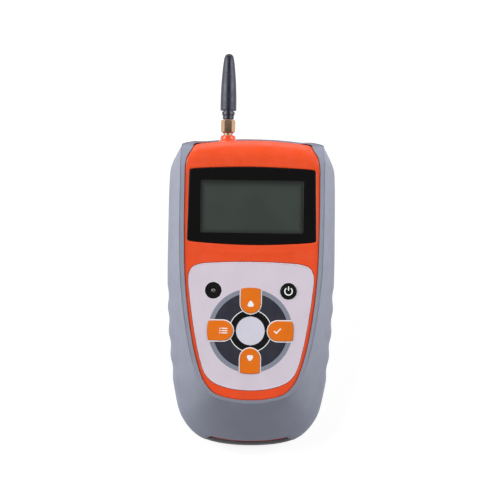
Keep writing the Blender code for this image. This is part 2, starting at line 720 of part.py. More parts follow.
def case_screw_places():
    """List the case screws: place and the top of the boss in the front shell."""
    places = []
    for side in (-1, 1):
        top, foot = HALF_LENGTH - CASE_SCREW_TOP_INSET, CASE_SCREW_FOOT_INSET - HALF_LENGTH
        places.append(((side * CASE_SCREW_TOP_X, top), FRONT_RIM_Z + CASE_BOSS_TOP_SHARE * FRONT_DEPTH))
        places.append(((side * CASE_SCREW_FOOT_X, foot), FRONT_RIM_Z + CASE_BOSS_FOOT_SHARE * FRONT_DEPTH))
    return places


def board_screw_places():
    """List the four places where the board is screwed to posts behind the face."""
    places = []
    for side in (-1, 1):
        places.append((side * BOARD_POST_TOP_X, BOARD_TOP - BOARD_POST_TOP_INSET))
        places.append((side * BOARD_POST_FOOT_X, BOARD_FOOT + BOARD_POST_FOOT_INSET))
    return places


def cell_places():
    """List each cell's place across the bay and which way its cap points."""
    places = []
    for index in range(CELL_COUNT):
        x = (index - (CELL_COUNT - 1) / 2) * CELL_PITCH
        places.append((x, 1 if index % 2 == 0 else -1))
    return places


def lead_places():
    """List where a lead leaves the bay: the free end of the first and the last cell, and which end it is."""
    places = []
    reach = BAY_HALF_LENGTH - FIT_GAP - LEAD_RADIUS
    for (x, points_up), polarity in ((cell_places()[0], 1), (cell_places()[-1], -1)):
        side = polarity * points_up
        places.append((x, BAY_CENTRE + side * reach, side))
    return places


def build_front_shell(bench, lines, material, keys):
    """Mould the front shell: slanted sides, rolled top, face recesses, key holes, posts and antenna boss."""
    height = FACE_Z - FRONT_RIM_Z
    rim = at_height(lines.core, FRONT_RIM_Z)
    start, start_z = lines.slope(lines.roll_depths)
    rolled = []
    for step in range(ROLL_STEPS + 1):
        share = step / ROLL_STEPS
        ring = []
        for low, level, edge, flat in zip(start, start_z, lines.front, lines.face):
            a = Vector((low.x, low.y, level))
            b = Vector((edge.x, edge.y, FACE_Z))
            c = Vector((flat.x, flat.y, FACE_Z))
            ring.append(a * (1 - share) ** 2 + b * (2 * share * (1 - share)) + c * share ** 2)
        rolled.append(ring)
    inner_depths = [max(depth, FACE_WALL) for depth in lines.roll_depths]
    inner_line, inner_z = lines.slope(inner_depths)
    inner_rim = at_height(inset(lines.core, SHELL_WALL), FRONT_RIM_Z)
    inner_side = at_height(inset(inner_line, SHELL_WALL), inner_z)
    inner_face = at_height(inset(lines.face, SHELL_WALL), INNER_FACE_Z)
    side, side_z = lines.half_slope()
    relief = at_height(inset(side, SIDE_RELIEF), side_z)
    rings = [*reversed(rolled), relief, rim, inner_rim, inner_side, inner_face]
    shell = bench.add("front_shell", loft(rings), material)

    above = FACE_Z + height
    bench.cut(shell, prism(lens_outline(-FIT_GAP), LENS_SEAT_Z, above))
    view = (VIEW_HALF_WIDTH + VIEW_MARGIN, VIEW_HALF_HEIGHT + VIEW_MARGIN)
    bench.cut(shell, block(*view, FRONT_RIM_Z, above, (0, VIEW_CENTRE)))
    bench.cut(shell, prism(inset(overlay_outline(), -FIT_GAP), OVERLAY_SEAT_Z, above))
    for key in keys:
        bench.cut(shell, key.hole(FIT_GAP, FRONT_RIM_Z, above))
    lamp_seat = FACE_Z - BEZEL_DEPTH - SEAT_GAP
    bench.cut(shell, rod(ROUND_KEY_RADIUS + FIT_GAP, lamp_seat, above, lamp_place(), ROUND_SIDES))
    bench.cut(shell, rod(LAMP_RADIUS + FIT_GAP, FRONT_RIM_Z, above, lamp_place()))

    post_foot = BOARD_TOP_Z + SEAT_GAP
    for place in board_screw_places():
        bench.join(shell, rod(BOARD_POST_RADIUS, post_foot, INNER_FACE_Z + FACE_WALL / 3, place))
        bench.cut(shell, rod(BOARD_SCREW_RADIUS + FIT_GAP, post_foot - SEAT_GAP,
                             post_foot + BOARD_SCREW_LENGTH - BOARD_THICKNESS, place))
    for place, boss_top in case_screw_places():
        bench.join(shell, rod(CASE_BOSS_RADIUS, FRONT_RIM_Z, boss_top, place))
        bench.cut(shell, rod(CASE_SCREW_RADIUS + FIT_GAP, SEAM_HEIGHT,
                             FRONT_RIM_Z + CASE_SCREW_BITE + FIT_GAP, place))
    boss = turned([(0, SHELL_TOP - BOSS_ROOT), (BOSS_BASE_RADIUS, SHELL_TOP - BOSS_ROOT),
                   (BOSS_BASE_RADIUS, SHELL_TOP), (BOSS_TOP_RADIUS, BOSS_TOP), (0, BOSS_TOP)])
    axis = (-ANTENNA_OFFSET, 0, ANTENNA_Z)
    bench.join(shell, boss, axis, ALONG_Y)
    bore = rod(JACK_RADIUS + FIT_GAP, BOARD_TOP, NUT_TOP, sides=ROUND_SIDES)
    bench.cut(shell, bore, axis, ALONG_Y)
    join_land(bench, shell, lines, FRONT_RIM_Z + SEAT_GAP, BODY_DEPTH)


def build_rear_shell(bench, lines, material):
    """Mould the rear shell: a tub with the battery bay, the door's seat and the screw pillars."""
    outer = [at_height(shrink(lines.core, draw), z) for draw, z in BACK_LEVELS]
    rim = at_height(lines.core, REAR_RIM_Z)
    inner_rim = at_height(inset(lines.core, SHELL_WALL), REAR_RIM_Z)
    knee_draw, knee_z = BACK_LEVELS[-1]
    inner_knee = at_height(shrink(lines.core, knee_draw + SHELL_WALL), knee_z)
    inner_floor = at_height(shrink(lines.core, BACK_ROUND + SHELL_WALL), REAR_FLOOR_Z)
    shell = bench.add("rear_shell", loft([*outer, rim, inner_rim, inner_knee, inner_floor]), material)

    inside = (BACK_RIM_RISE + REAR_FLOOR_Z) / 2
    below = -SEAM_HEIGHT
    bay = (0, BAY_CENTRE)
    wall_x = BAY_HALF_WIDTH + DOOR_SIDE_LEDGE + BAY_WALL
    wall_y = BAY_HALF_LENGTH + DOOR_END_LEDGE + BAY_WALL
    bench.join(shell, block(wall_x, wall_y, inside, BAY_ROOF_Z, bay))
    bench.cut(shell, block(BAY_HALF_WIDTH, BAY_HALF_LENGTH, below, BAY_TOP_Z, bay))
    seat = round_box(DOOR_HALF_WIDTH + FIT_GAP, DOOR_HALF_LENGTH + FIT_GAP, DOOR_CORNER + FIT_GAP, bay)
    bench.cut(shell, prism(seat, below, LEDGE_Z))
    for side in (-1, 1):
        place = (0, BAY_CENTRE + side * DOOR_SCREW_REACH)
        bench.cut(shell, rod(DOOR_SCREW_RADIUS + FIT_GAP, BACK_RIM_RISE, DOOR_SCREW_LENGTH + LEDGE_Z, place))
    for x, y, _ in lead_places():
        bench.cut(shell, rod(LEAD_RADIUS + FIT_GAP, CELL_Z, BAY_ROOF_Z + BAY_WALL, (x, y)))
    for place, _ in case_screw_places():
        bench.join(shell, rod(CASE_BOSS_RADIUS, inside, REAR_RIM_Z, place))
        bench.cut(shell, rod(CASE_SCREW_HEAD_RADIUS + FIT_GAP, below, CASE_SEAT_Z, place))
        bench.cut(shell, rod(CASE_SCREW_RADIUS + FIT_GAP, below, SEAM_HEIGHT, place))
    join_land(bench, shell, lines, 0, REAR_RIM_Z - SEAT_GAP)


def slot_prism(gap):
    """Make the slot's outline at the lower end as a prism along Y, shrunk by a gap."""
    middle = SEAM_HEIGHT + SLOT_FRONT_RISE - SLOT_HEIGHT / 2
    outline = round_box(SLOT_HALF_WIDTH - gap, SLOT_HEIGHT / 2 - gap, SLOT_END_ROUND - gap, (0, middle))
    return prism(outline, HALF_LENGTH - CHIN_LENGTH * 0.75, HALF_LENGTH + CHIN_LENGTH)


def side_rings(lines, drop):
    """Give the bumper's outer side from the lip to the back rim, drawn in by a drop."""
    rest = 1 - SHOULDER_SHARE
    shoulder = blend(lines.lip, lines.gripped(SHOULDER_GRIP), [SHOULDER_SHARE] * len(lines.lip))
    shoulder_z = [WAIST_HEIGHT + (BODY_DEPTH - WAIST_HEIGHT - fall) * rest for fall in lines.lip_drops]
    rings = [at_height(inset(shoulder, drop), shoulder_z)]
    for grip, draw, height in SIDE_LEVELS:
        rings.append(at_height(inset(lines.gripped(grip), draw + drop), height))
    return rings


def join_land(bench, shell, lines, foot, top):
    """Fuse to a shell the land that fills the bumper's slot, just below the bumper's surface."""
    shoulder, *lower = side_rings(lines, LAND_DROP)
    upper = blend(lower[0], shoulder, [LAND_SHARE] * len(shoulder))
    backing = inset(lines.core, LAND_ROOT)
    outer = [upper, *lower]
    band = loft([*outer, at_height(backing, [point.z for point in lower[-1]]),
                 at_height(backing, [point.z for point in upper]), upper], closed=True)
    land = bench.add(f"{shell.name}_land", band, shell.data.materials[0])
    land.hide_render = True
    land.display_type = "WIRE"
    bench.boolean(land, slot_prism(FIT_GAP), "INTERSECT", rotation=(math.pi / 2, 0, 0))
    bench.boolean(land, block(BODY_WIDTH, BODY_LENGTH, foot, top), "INTERSECT")
    modifier = shell.modifiers.new("land", "BOOLEAN")
    modifier.operation = "UNION"
    modifier.object = land


def build_bumper(bench, lines, material):
    """Mould the bumper ring: lip, slanted side with ripples, back rim, and an inside for the shells."""
    lip_inner = inset(lines.front, -BUMPER_GAP)
    inner_z = [BODY_DEPTH - LIP_HEEL - fall for fall in lines.lip_drops]
    outer_z = [BODY_DEPTH - fall for fall in lines.lip_drops]
    rings = [at_height(lip_inner, inner_z), at_height(lines.lip, outer_z), *side_rings(lines, 0),
             at_height(inset(lines.body, RIM_SETBACK), 0)]
    rings.append(at_height(shrink(lines.core, BACK_ROUND - BUMPER_GAP), 0))
    for draw, z in BACK_LEVELS[1:]:
        rings.append(at_height(shrink(lines.core, draw - BUMPER_GAP), z))
    rings.append(at_height(inset(lines.core, -BUMPER_GAP), REAR_RIM_Z))
    rings.append(at_height(inset(lines.core, -BUMPER_GAP), FRONT_RIM_Z))
    side, side_z = lines.half_slope()
    rings.append(at_height(inset(side, -BUMPER_GAP), side_z))
    bumper = bench.add("bumper", loft([*rings, rings[0]], closed=True), material)

    window_foot = HALF_LENGTH - TOP_WINDOW_DEPTH
    window = block(TOP_WINDOW_HALF_WIDTH, TOP_WINDOW_DEPTH, SEAM_HEIGHT - BAND_DROP, BODY_DEPTH + SEAM_HEIGHT,
                   (0, window_foot + TOP_WINDOW_DEPTH))
    bench.cut(bumper, window)
    bench.cut(bumper, slot_prism(0), rotation=(math.pi / 2, 0, 0))


def build_seam_gasket(bench, lines, material):
    """Lay the flat gasket between the two shells' rims."""
    margin = (SHELL_WALL - GASKET_WIDTH) / 2
    outer, inner = inset(lines.core, margin), inset(lines.core, margin + GASKET_WIDTH)
    foot = SEAM_HEIGHT - GASKET_THICKNESS / 2
    bench.add("seam_gasket", frame(outer, inner, foot, foot + GASKET_THICKNESS), material)


def build_display(bench, finishes):
    """Stack the display: lens, tape frame, bezel, panel and backlight."""
    lens = prism(lens_outline(0), LENS_TOP_Z - LENS_THICKNESS, LENS_TOP_Z)
    bench.add("display_lens", lens, finishes["lens"])

    tape = bench.add("lens_tape", prism(lens_outline(TAPE_MARGIN), TAPE_TOP_Z - TAPE_THICKNESS, TAPE_TOP_Z),
                     finishes["tape"])
    view = (VIEW_HALF_WIDTH + VIEW_MARGIN, VIEW_HALF_HEIGHT + VIEW_MARGIN)
    bench.cut(tape, block(*view, LENS_SEAT_Z, FACE_Z, (0, VIEW_CENTRE)))

    centre = (0, VIEW_CENTRE)
    bezel_half = (PANEL_HALF_WIDTH + BEZEL_BORDER, PANEL_HALF_HEIGHT + BEZEL_BORDER)
    bezel = bench.add("lcd_bezel", block(*bezel_half, BEZEL_TOP_Z - BEZEL_THICKNESS, BEZEL_TOP_Z, centre),
                      finishes["steel"])
    bench.cut(bezel, block(VIEW_HALF_WIDTH, VIEW_HALF_HEIGHT, PANEL_TOP_Z, FACE_Z, centre))
    panel_half = (PANEL_HALF_WIDTH, PANEL_HALF_HEIGHT)
    panel = block(*panel_half, PANEL_TOP_Z - PANEL_THICKNESS, PANEL_TOP_Z, centre)
    bench.add("lcd_panel", panel, finishes["lcd"])
    backlight = block(*panel_half, BACKLIGHT_TOP_Z - BACKLIGHT_THICKNESS, BACKLIGHT_TOP_Z, centre)
    bench.add("lcd_backlight", backlight, finishes["white"])


def build_keypad(bench, finishes, keys):
    """Make the overlay, the keys on their joint axes, the lamp and its black bezel."""
    plate = prism(overlay_outline(), OVERLAY_TOP_Z - OVERLAY_THICKNESS, OVERLAY_TOP_Z)
    overlay = bench.add("keypad_overlay", plate, finishes["overlay"])
    above = FACE_Z + FACE_WALL
    holes = [key.hole(FIT_GAP, OVERLAY_SEAT_Z, above) for key in keys]
    holes.append(rod(ROUND_KEY_RADIUS + FIT_GAP, OVERLAY_SEAT_Z, above, lamp_place(), ROUND_SIDES))
    bench.cut(overlay, together(holes))
    for key in keys:
        cap = bench.add(key.name, key.solid(), finishes[key.material], (*key.place, 0))
        bench.join(cap, key.stem(), (*key.place, 0))

    foot = FACE_Z - BEZEL_DEPTH
    bezel = frame(circle(ROUND_KEY_RADIUS), circle(LAMP_RADIUS + FIT_GAP), foot, FACE_Z)
    bench.add("indicator_bezel", bezel, finishes["black"], (*lamp_place(), 0))
    lamp_foot = BOARD_TOP_Z + SEAT_GAP
    shoulder = FACE_Z - LAMP_DOME
    dome = [(LAMP_RADIUS * math.cos(turn), shoulder + LAMP_DOME * math.sin(turn))
            for turn in (0, math.pi / 6, math.pi / 3)]
    lamp = turned([(0, lamp_foot), (LAMP_RADIUS, lamp_foot), *dome, (0, FACE_Z)], SMALL_SIDES)
    bench.add("status_led", lamp, finishes["lamp"], (*lamp_place(), 0))


def build_switches(bench, finishes, keys):
    """Put a switch on the board under each key, with a plunger that the key pushes."""
    half = SWITCH_SIDE / 2
    for key in keys:
        short = key.name.replace("key", "").strip("_")
        body = bench.add(f"switch_{short}", block(half, half, SWITCH_FOOT_Z, SWITCH_TOP_Z), finishes["black"],
                         (*key.place, 0))
        well_foot = SWITCH_TOP_Z - PLUNGER_INSERT - KEY_TRAVEL - FIT_GAP
        bench.cut(body, rod(PLUNGER_RADIUS + FIT_GAP, well_foot, FACE_Z), (*key.place, 0))
        plunger = rod(PLUNGER_RADIUS, SWITCH_TOP_Z - PLUNGER_INSERT, PLUNGER_TOP_Z)
        bench.add(f"plunger_{short}", plunger, finishes["black"], (*key.place, 0))


def build_board(bench, finishes):
    """Make the main board with its screws, the radio shield and the buzzer."""
    half, foot_half = BOARD_HALF_WIDTH, BOARD_FOOT_HALF_WIDTH
    taper = BOARD_FOOT + BOARD_TAPER_LENGTH
    corners = ((-half, BOARD_TOP), (half, BOARD_TOP), (half, taper), (foot_half, BOARD_FOOT),
               (-foot_half, BOARD_FOOT), (-half, taper))
    outline = [Vector(corner) for corner in corners]
    board = bench.add("main_board", prism(outline, BOARD_FOOT_Z, BOARD_TOP_Z), finishes["board"])
    seat = BOARD_FOOT_Z - SEAT_GAP
    for number, place in enumerate(board_screw_places(), 1):
        bench.cut(board, rod(BOARD_SCREW_RADIUS + FIT_GAP, seat, BOARD_TOP_Z + FIT_GAP, place))
        tip = seat + BOARD_SCREW_LENGTH
        screw = turned([(0, seat - BOARD_SCREW_HEAD), (BOARD_SCREW_HEAD_RADIUS, seat - BOARD_SCREW_HEAD),
                        (BOARD_SCREW_HEAD_RADIUS, seat), (BOARD_SCREW_RADIUS, seat),
                        (BOARD_SCREW_RADIUS, tip), (0, tip)], SMALL_SIDES)
        bench.add(f"board_screw_{number}", screw, finishes["steel"], (*place, 0))

    place = (-ANTENNA_OFFSET, BOARD_TOP - SHIELD_FROM_TOP)
    shield = block(SHIELD_HALF_WIDTH, SHIELD_LENGTH / 2, seat - SHIELD_HEIGHT, seat, place)
    bench.add("radio_shield", shield, finishes["steel"])
    spot = (BUZZER_X, BOARD_TOP - SHIELD_FROM_TOP)
    buzzer = rod(BUZZER_RADIUS, seat - BUZZER_HEIGHT, seat, spot, ROUND_SIDES)
    bench.add("buzzer", buzzer, finishes["black"])


def hexagon(across_flats):
    """Draw a clockwise hexagon with flats facing up and down."""
    return circle(across_flats / math.sqrt(3), sides=6)


def build_antenna(bench, finishes):
    """Make the jack on the board, and the antenna with its nut, all about the antenna's axis."""
    axis = (-ANTENNA_OFFSET, 0, ANTENNA_Z)
    flange_foot = BOARD_TOP + SEAT_GAP
    barrel = turned([(0, flange_foot), (JACK_RADIUS, flange_foot), (JACK_RADIUS, JACK_TOP),
                     (JACK_BORE_RADIUS, JACK_TOP), (JACK_BORE_RADIUS, JACK_TOP - JACK_BORE_DEPTH),
                     (0, JACK_TOP - JACK_BORE_DEPTH)])
    jack = bench.add("antenna_jack", barrel, finishes["gold"], axis, ALONG_Y)
    half = JACK_FLANGE_SIDE / 2
    bench.join(jack, block(half, half, flange_foot, flange_foot + JACK_FLANGE_THICKNESS), axis, ALONG_Y)
    leg_middle = BOARD_THICKNESS / 2 + SEAT_GAP + JACK_LEG_THICKNESS / 2
    for side in (-1, 1):
        leg = block(half, JACK_LEG_THICKNESS / 2, BOARD_TOP - JACK_LEG_LENGTH,
                    flange_foot + JACK_FLANGE_THICKNESS / 2, (0, side * leg_middle))
        bench.join(jack, leg, axis, ALONG_Y)

    eased = hexagon(NUT_ACROSS_FLATS - 2 * NUT_CHAMFER)
    full = hexagon(NUT_ACROSS_FLATS)
    hex_body = loft([at_height(eased, NUT_FOOT), at_height(full, NUT_FOOT + NUT_CHAMFER),
                     at_height(full, NUT_TOP - NUT_CHAMFER), at_height(eased, NUT_TOP)])
    nut = bench.add("coupling_nut", hex_body, finishes["gold"], axis, ALONG_Y)
    bench.cut(nut, rod(JACK_RADIUS + FIT_GAP, BOSS_TOP, NUT_SEAT, sides=ROUND_SIDES), axis, ALONG_Y)
    bench.cut(nut, rod(NUT_SEAT_RADIUS, BOSS_TOP, SLEEVE_FOOT, sides=ROUND_SIDES), axis, ALONG_Y)

    shoulder_top = NUT_SEAT - SEAT_GAP
    shoulder_foot = shoulder_top - COLLAR_SHOULDER_THICKNESS
    spigot = NUT_SEAT_RADIUS - FIT_GAP
    tenon_top = SLEEVE_FOOT + COLLAR_TENON
    collar = turned([(COLLAR_BORE_RADIUS, shoulder_foot), (COLLAR_SHOULDER_RADIUS, shoulder_foot),
                     (COLLAR_SHOULDER_RADIUS, shoulder_top), (spigot, shoulder_top), (spigot, COLLAR_FOOT),
                     (COLLAR_NECK_RADIUS, COLLAR_FOOT), (COLLAR_NECK_RADIUS, RING_FOOT),
                     (COLLAR_RING_RADIUS, RING_FOOT + (COLLAR_RING_RADIUS - COLLAR_NECK_RADIUS)),
                     (COLLAR_RING_RADIUS, tenon_top), (COLLAR_BORE_RADIUS, tenon_top)])
    bench.add("antenna_collar", collar, finishes["black"], axis, ALONG_Y)

    socket = COLLAR_RING_RADIUS + FIT_GAP
    ceiling = SLEEVE_TIP - SLEEVE_TIP_WALL
    bore_radius = SLEEVE_BORE_RADIUS
    profile = [(0, ceiling), (bore_radius, ceiling), (bore_radius, tenon_top + SEAT_GAP),
               (socket, tenon_top + SEAT_GAP), (socket, SLEEVE_FOOT), (SLEEVE_BASE_RADIUS, SLEEVE_FOOT)]
    dome_foot = SLEEVE_LENGTH - SLEEVE_DOME
    for step in range(1, SLEEVE_STEPS + 1):
        share = step / SLEEVE_STEPS
        radius = SLEEVE_BASE_RADIUS - (SLEEVE_BASE_RADIUS - SLEEVE_TIP_RADIUS) * share ** SLEEVE_TAPER
        profile.append((radius, SLEEVE_FOOT + dome_foot * share))
    for step in range(1, DOME_STEPS):
        turn = math.pi / 2 * step / DOME_STEPS
        height = SLEEVE_FOOT + dome_foot + SLEEVE_DOME * math.sin(turn)
        profile.append((SLEEVE_TIP_RADIUS * math.cos(turn), height))
    profile.append((0, SLEEVE_TIP))
    bench.add("antenna_sleeve", turned(profile), finishes["rubber"], axis, ALONG_Y)

    pin_top = COLLAR_FOOT
    pin = rod(PIN_RADIUS, shoulder_foot - PIN_REACH, pin_top)
    bench.add("plug_pin", pin, finishes["gold"], axis, ALONG_Y)
    element = rod(ELEMENT_RADIUS, pin_top + SEAT_GAP, ceiling - FIT_GAP)
    bench.add("antenna_element", element, finishes["gold"], axis, ALONG_Y)


def build_battery_door(bench, finishes):
    """Make the door with its seal and two captive screws, with origins on the way it lifts."""
    place = (0, BAY_CENTRE, 0)
    outline = round_box(DOOR_HALF_WIDTH, DOOR_HALF_LENGTH, DOOR_CORNER)
    door = bench.add("battery_door", prism(outline, BACK_RIM_RISE, DOOR_TOP_Z), finishes["charcoal"], place)
    seal_x, seal_y = BAY_HALF_WIDTH + SEAL_INSET, BAY_HALF_LENGTH + SEAL_INSET
    inner = round_box(seal_x, seal_y, SEAL_INSET)
    outer = round_box(seal_x + SEAL_WIDTH, seal_y + SEAL_WIDTH, SEAL_INSET + SEAL_WIDTH)
    seal = frame(outer, inner, SEAL_FOOT_Z, SEAL_FOOT_Z + SEAL_THICKNESS)
    bench.add("door_seal", seal, finishes["rubber"], place)
    seat = BACK_RIM_RISE + DOOR_SCREW_HEAD
    for number, side in enumerate((-1, 1), 1):
        spot = (0, BAY_CENTRE + side * DOOR_SCREW_REACH, 0)
        bench.cut(door, rod(DOOR_SCREW_HEAD_RADIUS + FIT_GAP, -SEAM_HEIGHT, seat + SEAT_GAP), spot)
        bench.cut(door, rod(DOOR_SCREW_RADIUS + FIT_GAP, -SEAM_HEIGHT, SEAM_HEIGHT), spot)
        screw = turned([(0, BACK_RIM_RISE), (DOOR_SCREW_HEAD_RADIUS, BACK_RIM_RISE),
                        (DOOR_SCREW_HEAD_RADIUS, seat), (DOOR_SCREW_RADIUS, seat),
                        (DOOR_SCREW_RADIUS, seat + DOOR_SCREW_LENGTH), (0, seat + DOOR_SCREW_LENGTH)],
                       SMALL_SIDES)
        bench.add(f"door_screw_{number}", screw, finishes["steel"], spot)


def coil_points():
    """Give the points of one conical contact spring, from its base to its tip along Z."""
    points = []
    count = SPRING_TURNS * SPRING_STEPS
    length = SPRING_LENGTH - 2 * FIT_GAP - 2 * SPRING_WIRE_RADIUS
    for index in range(count + 1):
        share = index / count
        radius = SPRING_BASE_RADIUS + (SPRING_TIP_RADIUS - SPRING_BASE_RADIUS) * share
        turn = 2 * math.pi * index / SPRING_STEPS
        points.append(Vector((radius * math.cos(turn), radius * math.sin(turn),
                              SPRING_WIRE_RADIUS + length * share)))
    return points


def report_spring_gap():
    """Print the least gap between the turns of a spring, measured on its points half a turn or more apart."""
    points = coil_points()
    apart = SPRING_STEPS // 2
    least = min((first - second).length for index, first in enumerate(points)
                for second in points[index + apart:])
    print(f"least gap in a cell spring {(least - 2 * SPRING_WIRE_RADIUS) * 1000:.2f} mm")


def together(shapes):
    """Put several separate solids into one shape."""
    whole = bmesh.new()
    for shape in shapes:
        mesh = bpy.data.meshes.new("solid")
        shape.to_mesh(mesh)
        shape.free()
        whole.from_mesh(mesh)
        bpy.data.meshes.remove(mesh)
    return whole


def tube(bench, name, points, radius, material, location=(0, 0, 0), rotation=(0, 0, 0)):
    """Draw a round wire along points."""
    path = bpy.data.curves.new(name, "CURVE")
    path.dimensions = "3D"
    path.bevel_depth = radius
    path.bevel_resolution = WIRE_RESOLUTION
    path.use_fill_caps = True
    spline = path.splines.new("POLY")
    spline.points.add(len(points) - 1)
    for target, point in zip(spline.points, points):
        target.co = (*point, 1)
    path.materials.append(material)
    return bench.place(name, path, location, rotation)


def build_cells(bench, finishes):
    """Put the round cells in the bay, each between a coil spring and a flat contact."""
    for number, (x, points_up) in enumerate(cell_places(), 1):
        cap_end = points_up * (BAY_HALF_LENGTH - FIT_GAP)
        base_end = -cap_end
        turn = (-points_up * math.pi / 2, 0, 0)
        contact = block(CONTACT_SIDE / 2, CONTACT_SIDE / 2, -CONTACT_THICKNESS, 0)
        spot = (x, BAY_CENTRE + cap_end, CELL_Z)
        bench.add(f"cell_contact_{number}", contact, finishes["steel"], spot, turn)
        cap = -CONTACT_THICKNESS - FIT_GAP
        foot = cap - CELL_CAP_LENGTH - CELL_LENGTH
        profile = [(0, foot), (CELL_RADIUS, foot), (CELL_RADIUS, cap - CELL_CAP_LENGTH),
                   (CELL_CAP_RADIUS, cap - CELL_CAP_LENGTH), (CELL_CAP_RADIUS, cap), (0, cap)]
        bench.add(f"cell_{number}", turned(profile), finishes["cell"], spot, turn)
        tube(bench, f"cell_spring_{number}", coil_points(), SPRING_WIRE_RADIUS, finishes["steel"],
             (x, BAY_CENTRE + base_end, CELL_Z), turn)


def build_leads(bench, finishes):
    """Run one lead from each end of the row of cells, up through the bay's roof, to the board."""
    for (x, y, side), finish in zip(lead_places(), ("red", "black")):
        start = Vector((x, y, CELL_Z + SPRING_BASE_RADIUS + SPRING_WIRE_RADIUS + FIT_GAP))
        knee = Vector((x, y, BAY_ROOF_Z + LEAD_STRAIGHT))
        end = Vector((x, y - side * LEAD_SHIFT, BOARD_FOOT_Z - FIT_GAP))
        rise = Vector((0, 0, (end.z - knee.z) / 2))
        points = [start]
        for step in range(LEAD_STEPS + 1):
            t = step / LEAD_STEPS
            points.append(knee * (1 - t) ** 3 + (knee + rise) * 3 * t * (1 - t) ** 2
                          + (end - rise) * 3 * t ** 2 * (1 - t) + end * t ** 3)
        tube(bench, f"battery_lead_{finish}", points, LEAD_RADIUS, finishes[finish])


def build_case_screws(bench, finishes):
    """Put the case screws in their pillars."""
    for number, (place, _) in enumerate(case_screw_places(), 1):
        seat = CASE_SEAT_Z - SEAT_GAP
        tip = FRONT_RIM_Z + CASE_SCREW_BITE
        screw = turned([(0, seat - CASE_SCREW_HEAD), (CASE_SCREW_HEAD_RADIUS, seat - CASE_SCREW_HEAD),
                        (CASE_SCREW_HEAD_RADIUS, seat), (CASE_SCREW_RADIUS, seat), (CASE_SCREW_RADIUS, tip),
                        (0, tip)], SMALL_SIDES)
        bench.add(f"case_screw_{number}", screw, finishes["steel"], (*place, 0))


def make_finishes():
    """Make one material for each finish on the object."""
    return {
        "orange": plastic("orange_plastic", (0.80, 0.083, 0.022), 0.42),
        "charcoal": plastic("charcoal_plastic", (0.045, 0.042, 0.046), 0.50),
        "grey": plastic("grey_rubber", (0.36, 0.38, 0.45), 0.62),
        "rubber": plastic("black_rubber", (0.028, 0.028, 0.034), 0.55),
        "lens": plastic("lens", (0.010, 0.010, 0.011), 0.08),
        "tape": plastic("tape", (0.02, 0.02, 0.02), 0.60),
        "lcd": plastic("lcd", (0.052, 0.064, 0.055), 0.25),
        "white": plastic("white_plastic", (0.80, 0.80, 0.80), 0.40),
        "overlay": plastic("overlay", (0.66, 0.60, 0.67), 0.35),
        "key": plastic("orange_key", (0.75, 0.165, 0.014), 0.38),
        "black": plastic("black_plastic", (0.012, 0.012, 0.013), 0.35),
        "lamp": plastic("lamp", (0.14, 0.10, 0.10), 0.20),
        "gold": plastic("gold_plate", (0.62, 0.42, 0.22), 0.28, 1.0),
        "steel": plastic("steel", (0.60, 0.60, 0.60), 0.35, 1.0),
        "board": plastic("circuit_board", (0.02, 0.16, 0.06), 0.45),
        "cell": plastic("cell_label", (0.10, 0.12, 0.16), 0.35),
        "red": plastic("red_lead", (0.55, 0.02, 0.02), 0.45),
    }


def main():
    """Build the whole transceiver."""
    clear_scene()
    bench = Bench()
    finishes = make_finishes()
    lines = Outlines()
    turns = {"key_up": 0, "key_menu": math.pi / 2, "key_down": math.pi, "key_confirm": -math.pi / 2}
    keys = [Key(name, dial_place(turn), "key", turn) for name, turn in turns.items()]
    keys.append(Key("power_key", (ROUND_KEY_SPREAD, DIAL_Y + ROUND_KEY_RISE), "black"))
    build_front_shell(bench, lines, finishes["orange"], keys)
    build_rear_shell(bench, lines, finishes["charcoal"])
    build_bumper(bench, Outlines(GRIP_SPANS), finishes["grey"])
    build_seam_gasket(bench, lines, finishes["rubber"])
    build_display(bench, finishes)
    build_keypad(bench, finishes, keys)
    build_switches(bench, finishes, keys)
    build_board(bench, finishes)
    build_antenna(bench, finishes)
    build_battery_door(bench, finishes)
    build_cells(bench, finishes)
    report_spring_gap()
    build_leads(bench, finishes)
    build_case_screws(bench, finishes)
    bpy.context.view_layer.update()


main()
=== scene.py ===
"""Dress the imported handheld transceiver: grey bumper, orange front, display, keypad, antenna and back.

Sizes are millimetres in the body's own frame: X across, Y along the body towards the antenna and Z out of the
display, from the resting plane. Workbench.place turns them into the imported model's frame in metres.
"""

from __future__ import annotations

import logging
import math
from collections.abc import Callable, Iterable, Sequence
from dataclasses import dataclass, field
from enum import Enum

import bmesh
import bpy
from mathutils import Matrix, Vector

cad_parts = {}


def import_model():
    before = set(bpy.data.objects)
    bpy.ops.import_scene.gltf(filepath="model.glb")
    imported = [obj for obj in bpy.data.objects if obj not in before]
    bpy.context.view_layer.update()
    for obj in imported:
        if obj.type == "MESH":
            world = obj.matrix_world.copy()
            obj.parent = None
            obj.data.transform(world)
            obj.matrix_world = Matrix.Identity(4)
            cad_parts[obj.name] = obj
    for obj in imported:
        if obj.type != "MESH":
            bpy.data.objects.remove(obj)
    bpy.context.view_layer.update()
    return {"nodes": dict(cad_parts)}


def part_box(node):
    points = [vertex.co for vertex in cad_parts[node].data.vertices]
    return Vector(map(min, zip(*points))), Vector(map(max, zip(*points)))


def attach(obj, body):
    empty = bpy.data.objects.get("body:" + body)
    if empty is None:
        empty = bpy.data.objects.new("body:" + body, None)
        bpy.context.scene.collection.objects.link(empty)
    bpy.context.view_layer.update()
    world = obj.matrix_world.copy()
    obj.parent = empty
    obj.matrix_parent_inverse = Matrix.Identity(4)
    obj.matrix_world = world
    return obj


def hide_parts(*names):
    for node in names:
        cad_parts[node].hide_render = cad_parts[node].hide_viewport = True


LOG = logging.getLogger("transceiver")
MM = 0.001
TINY = 1e-9
BODY_MIDDLE = 27.2
ANTENNA_X, ANTENNA_Z = -16.0, 32.2
BROAD_NOISE = (0.3, 0.7)
FINE_NOISE = (0.35, 0.65)

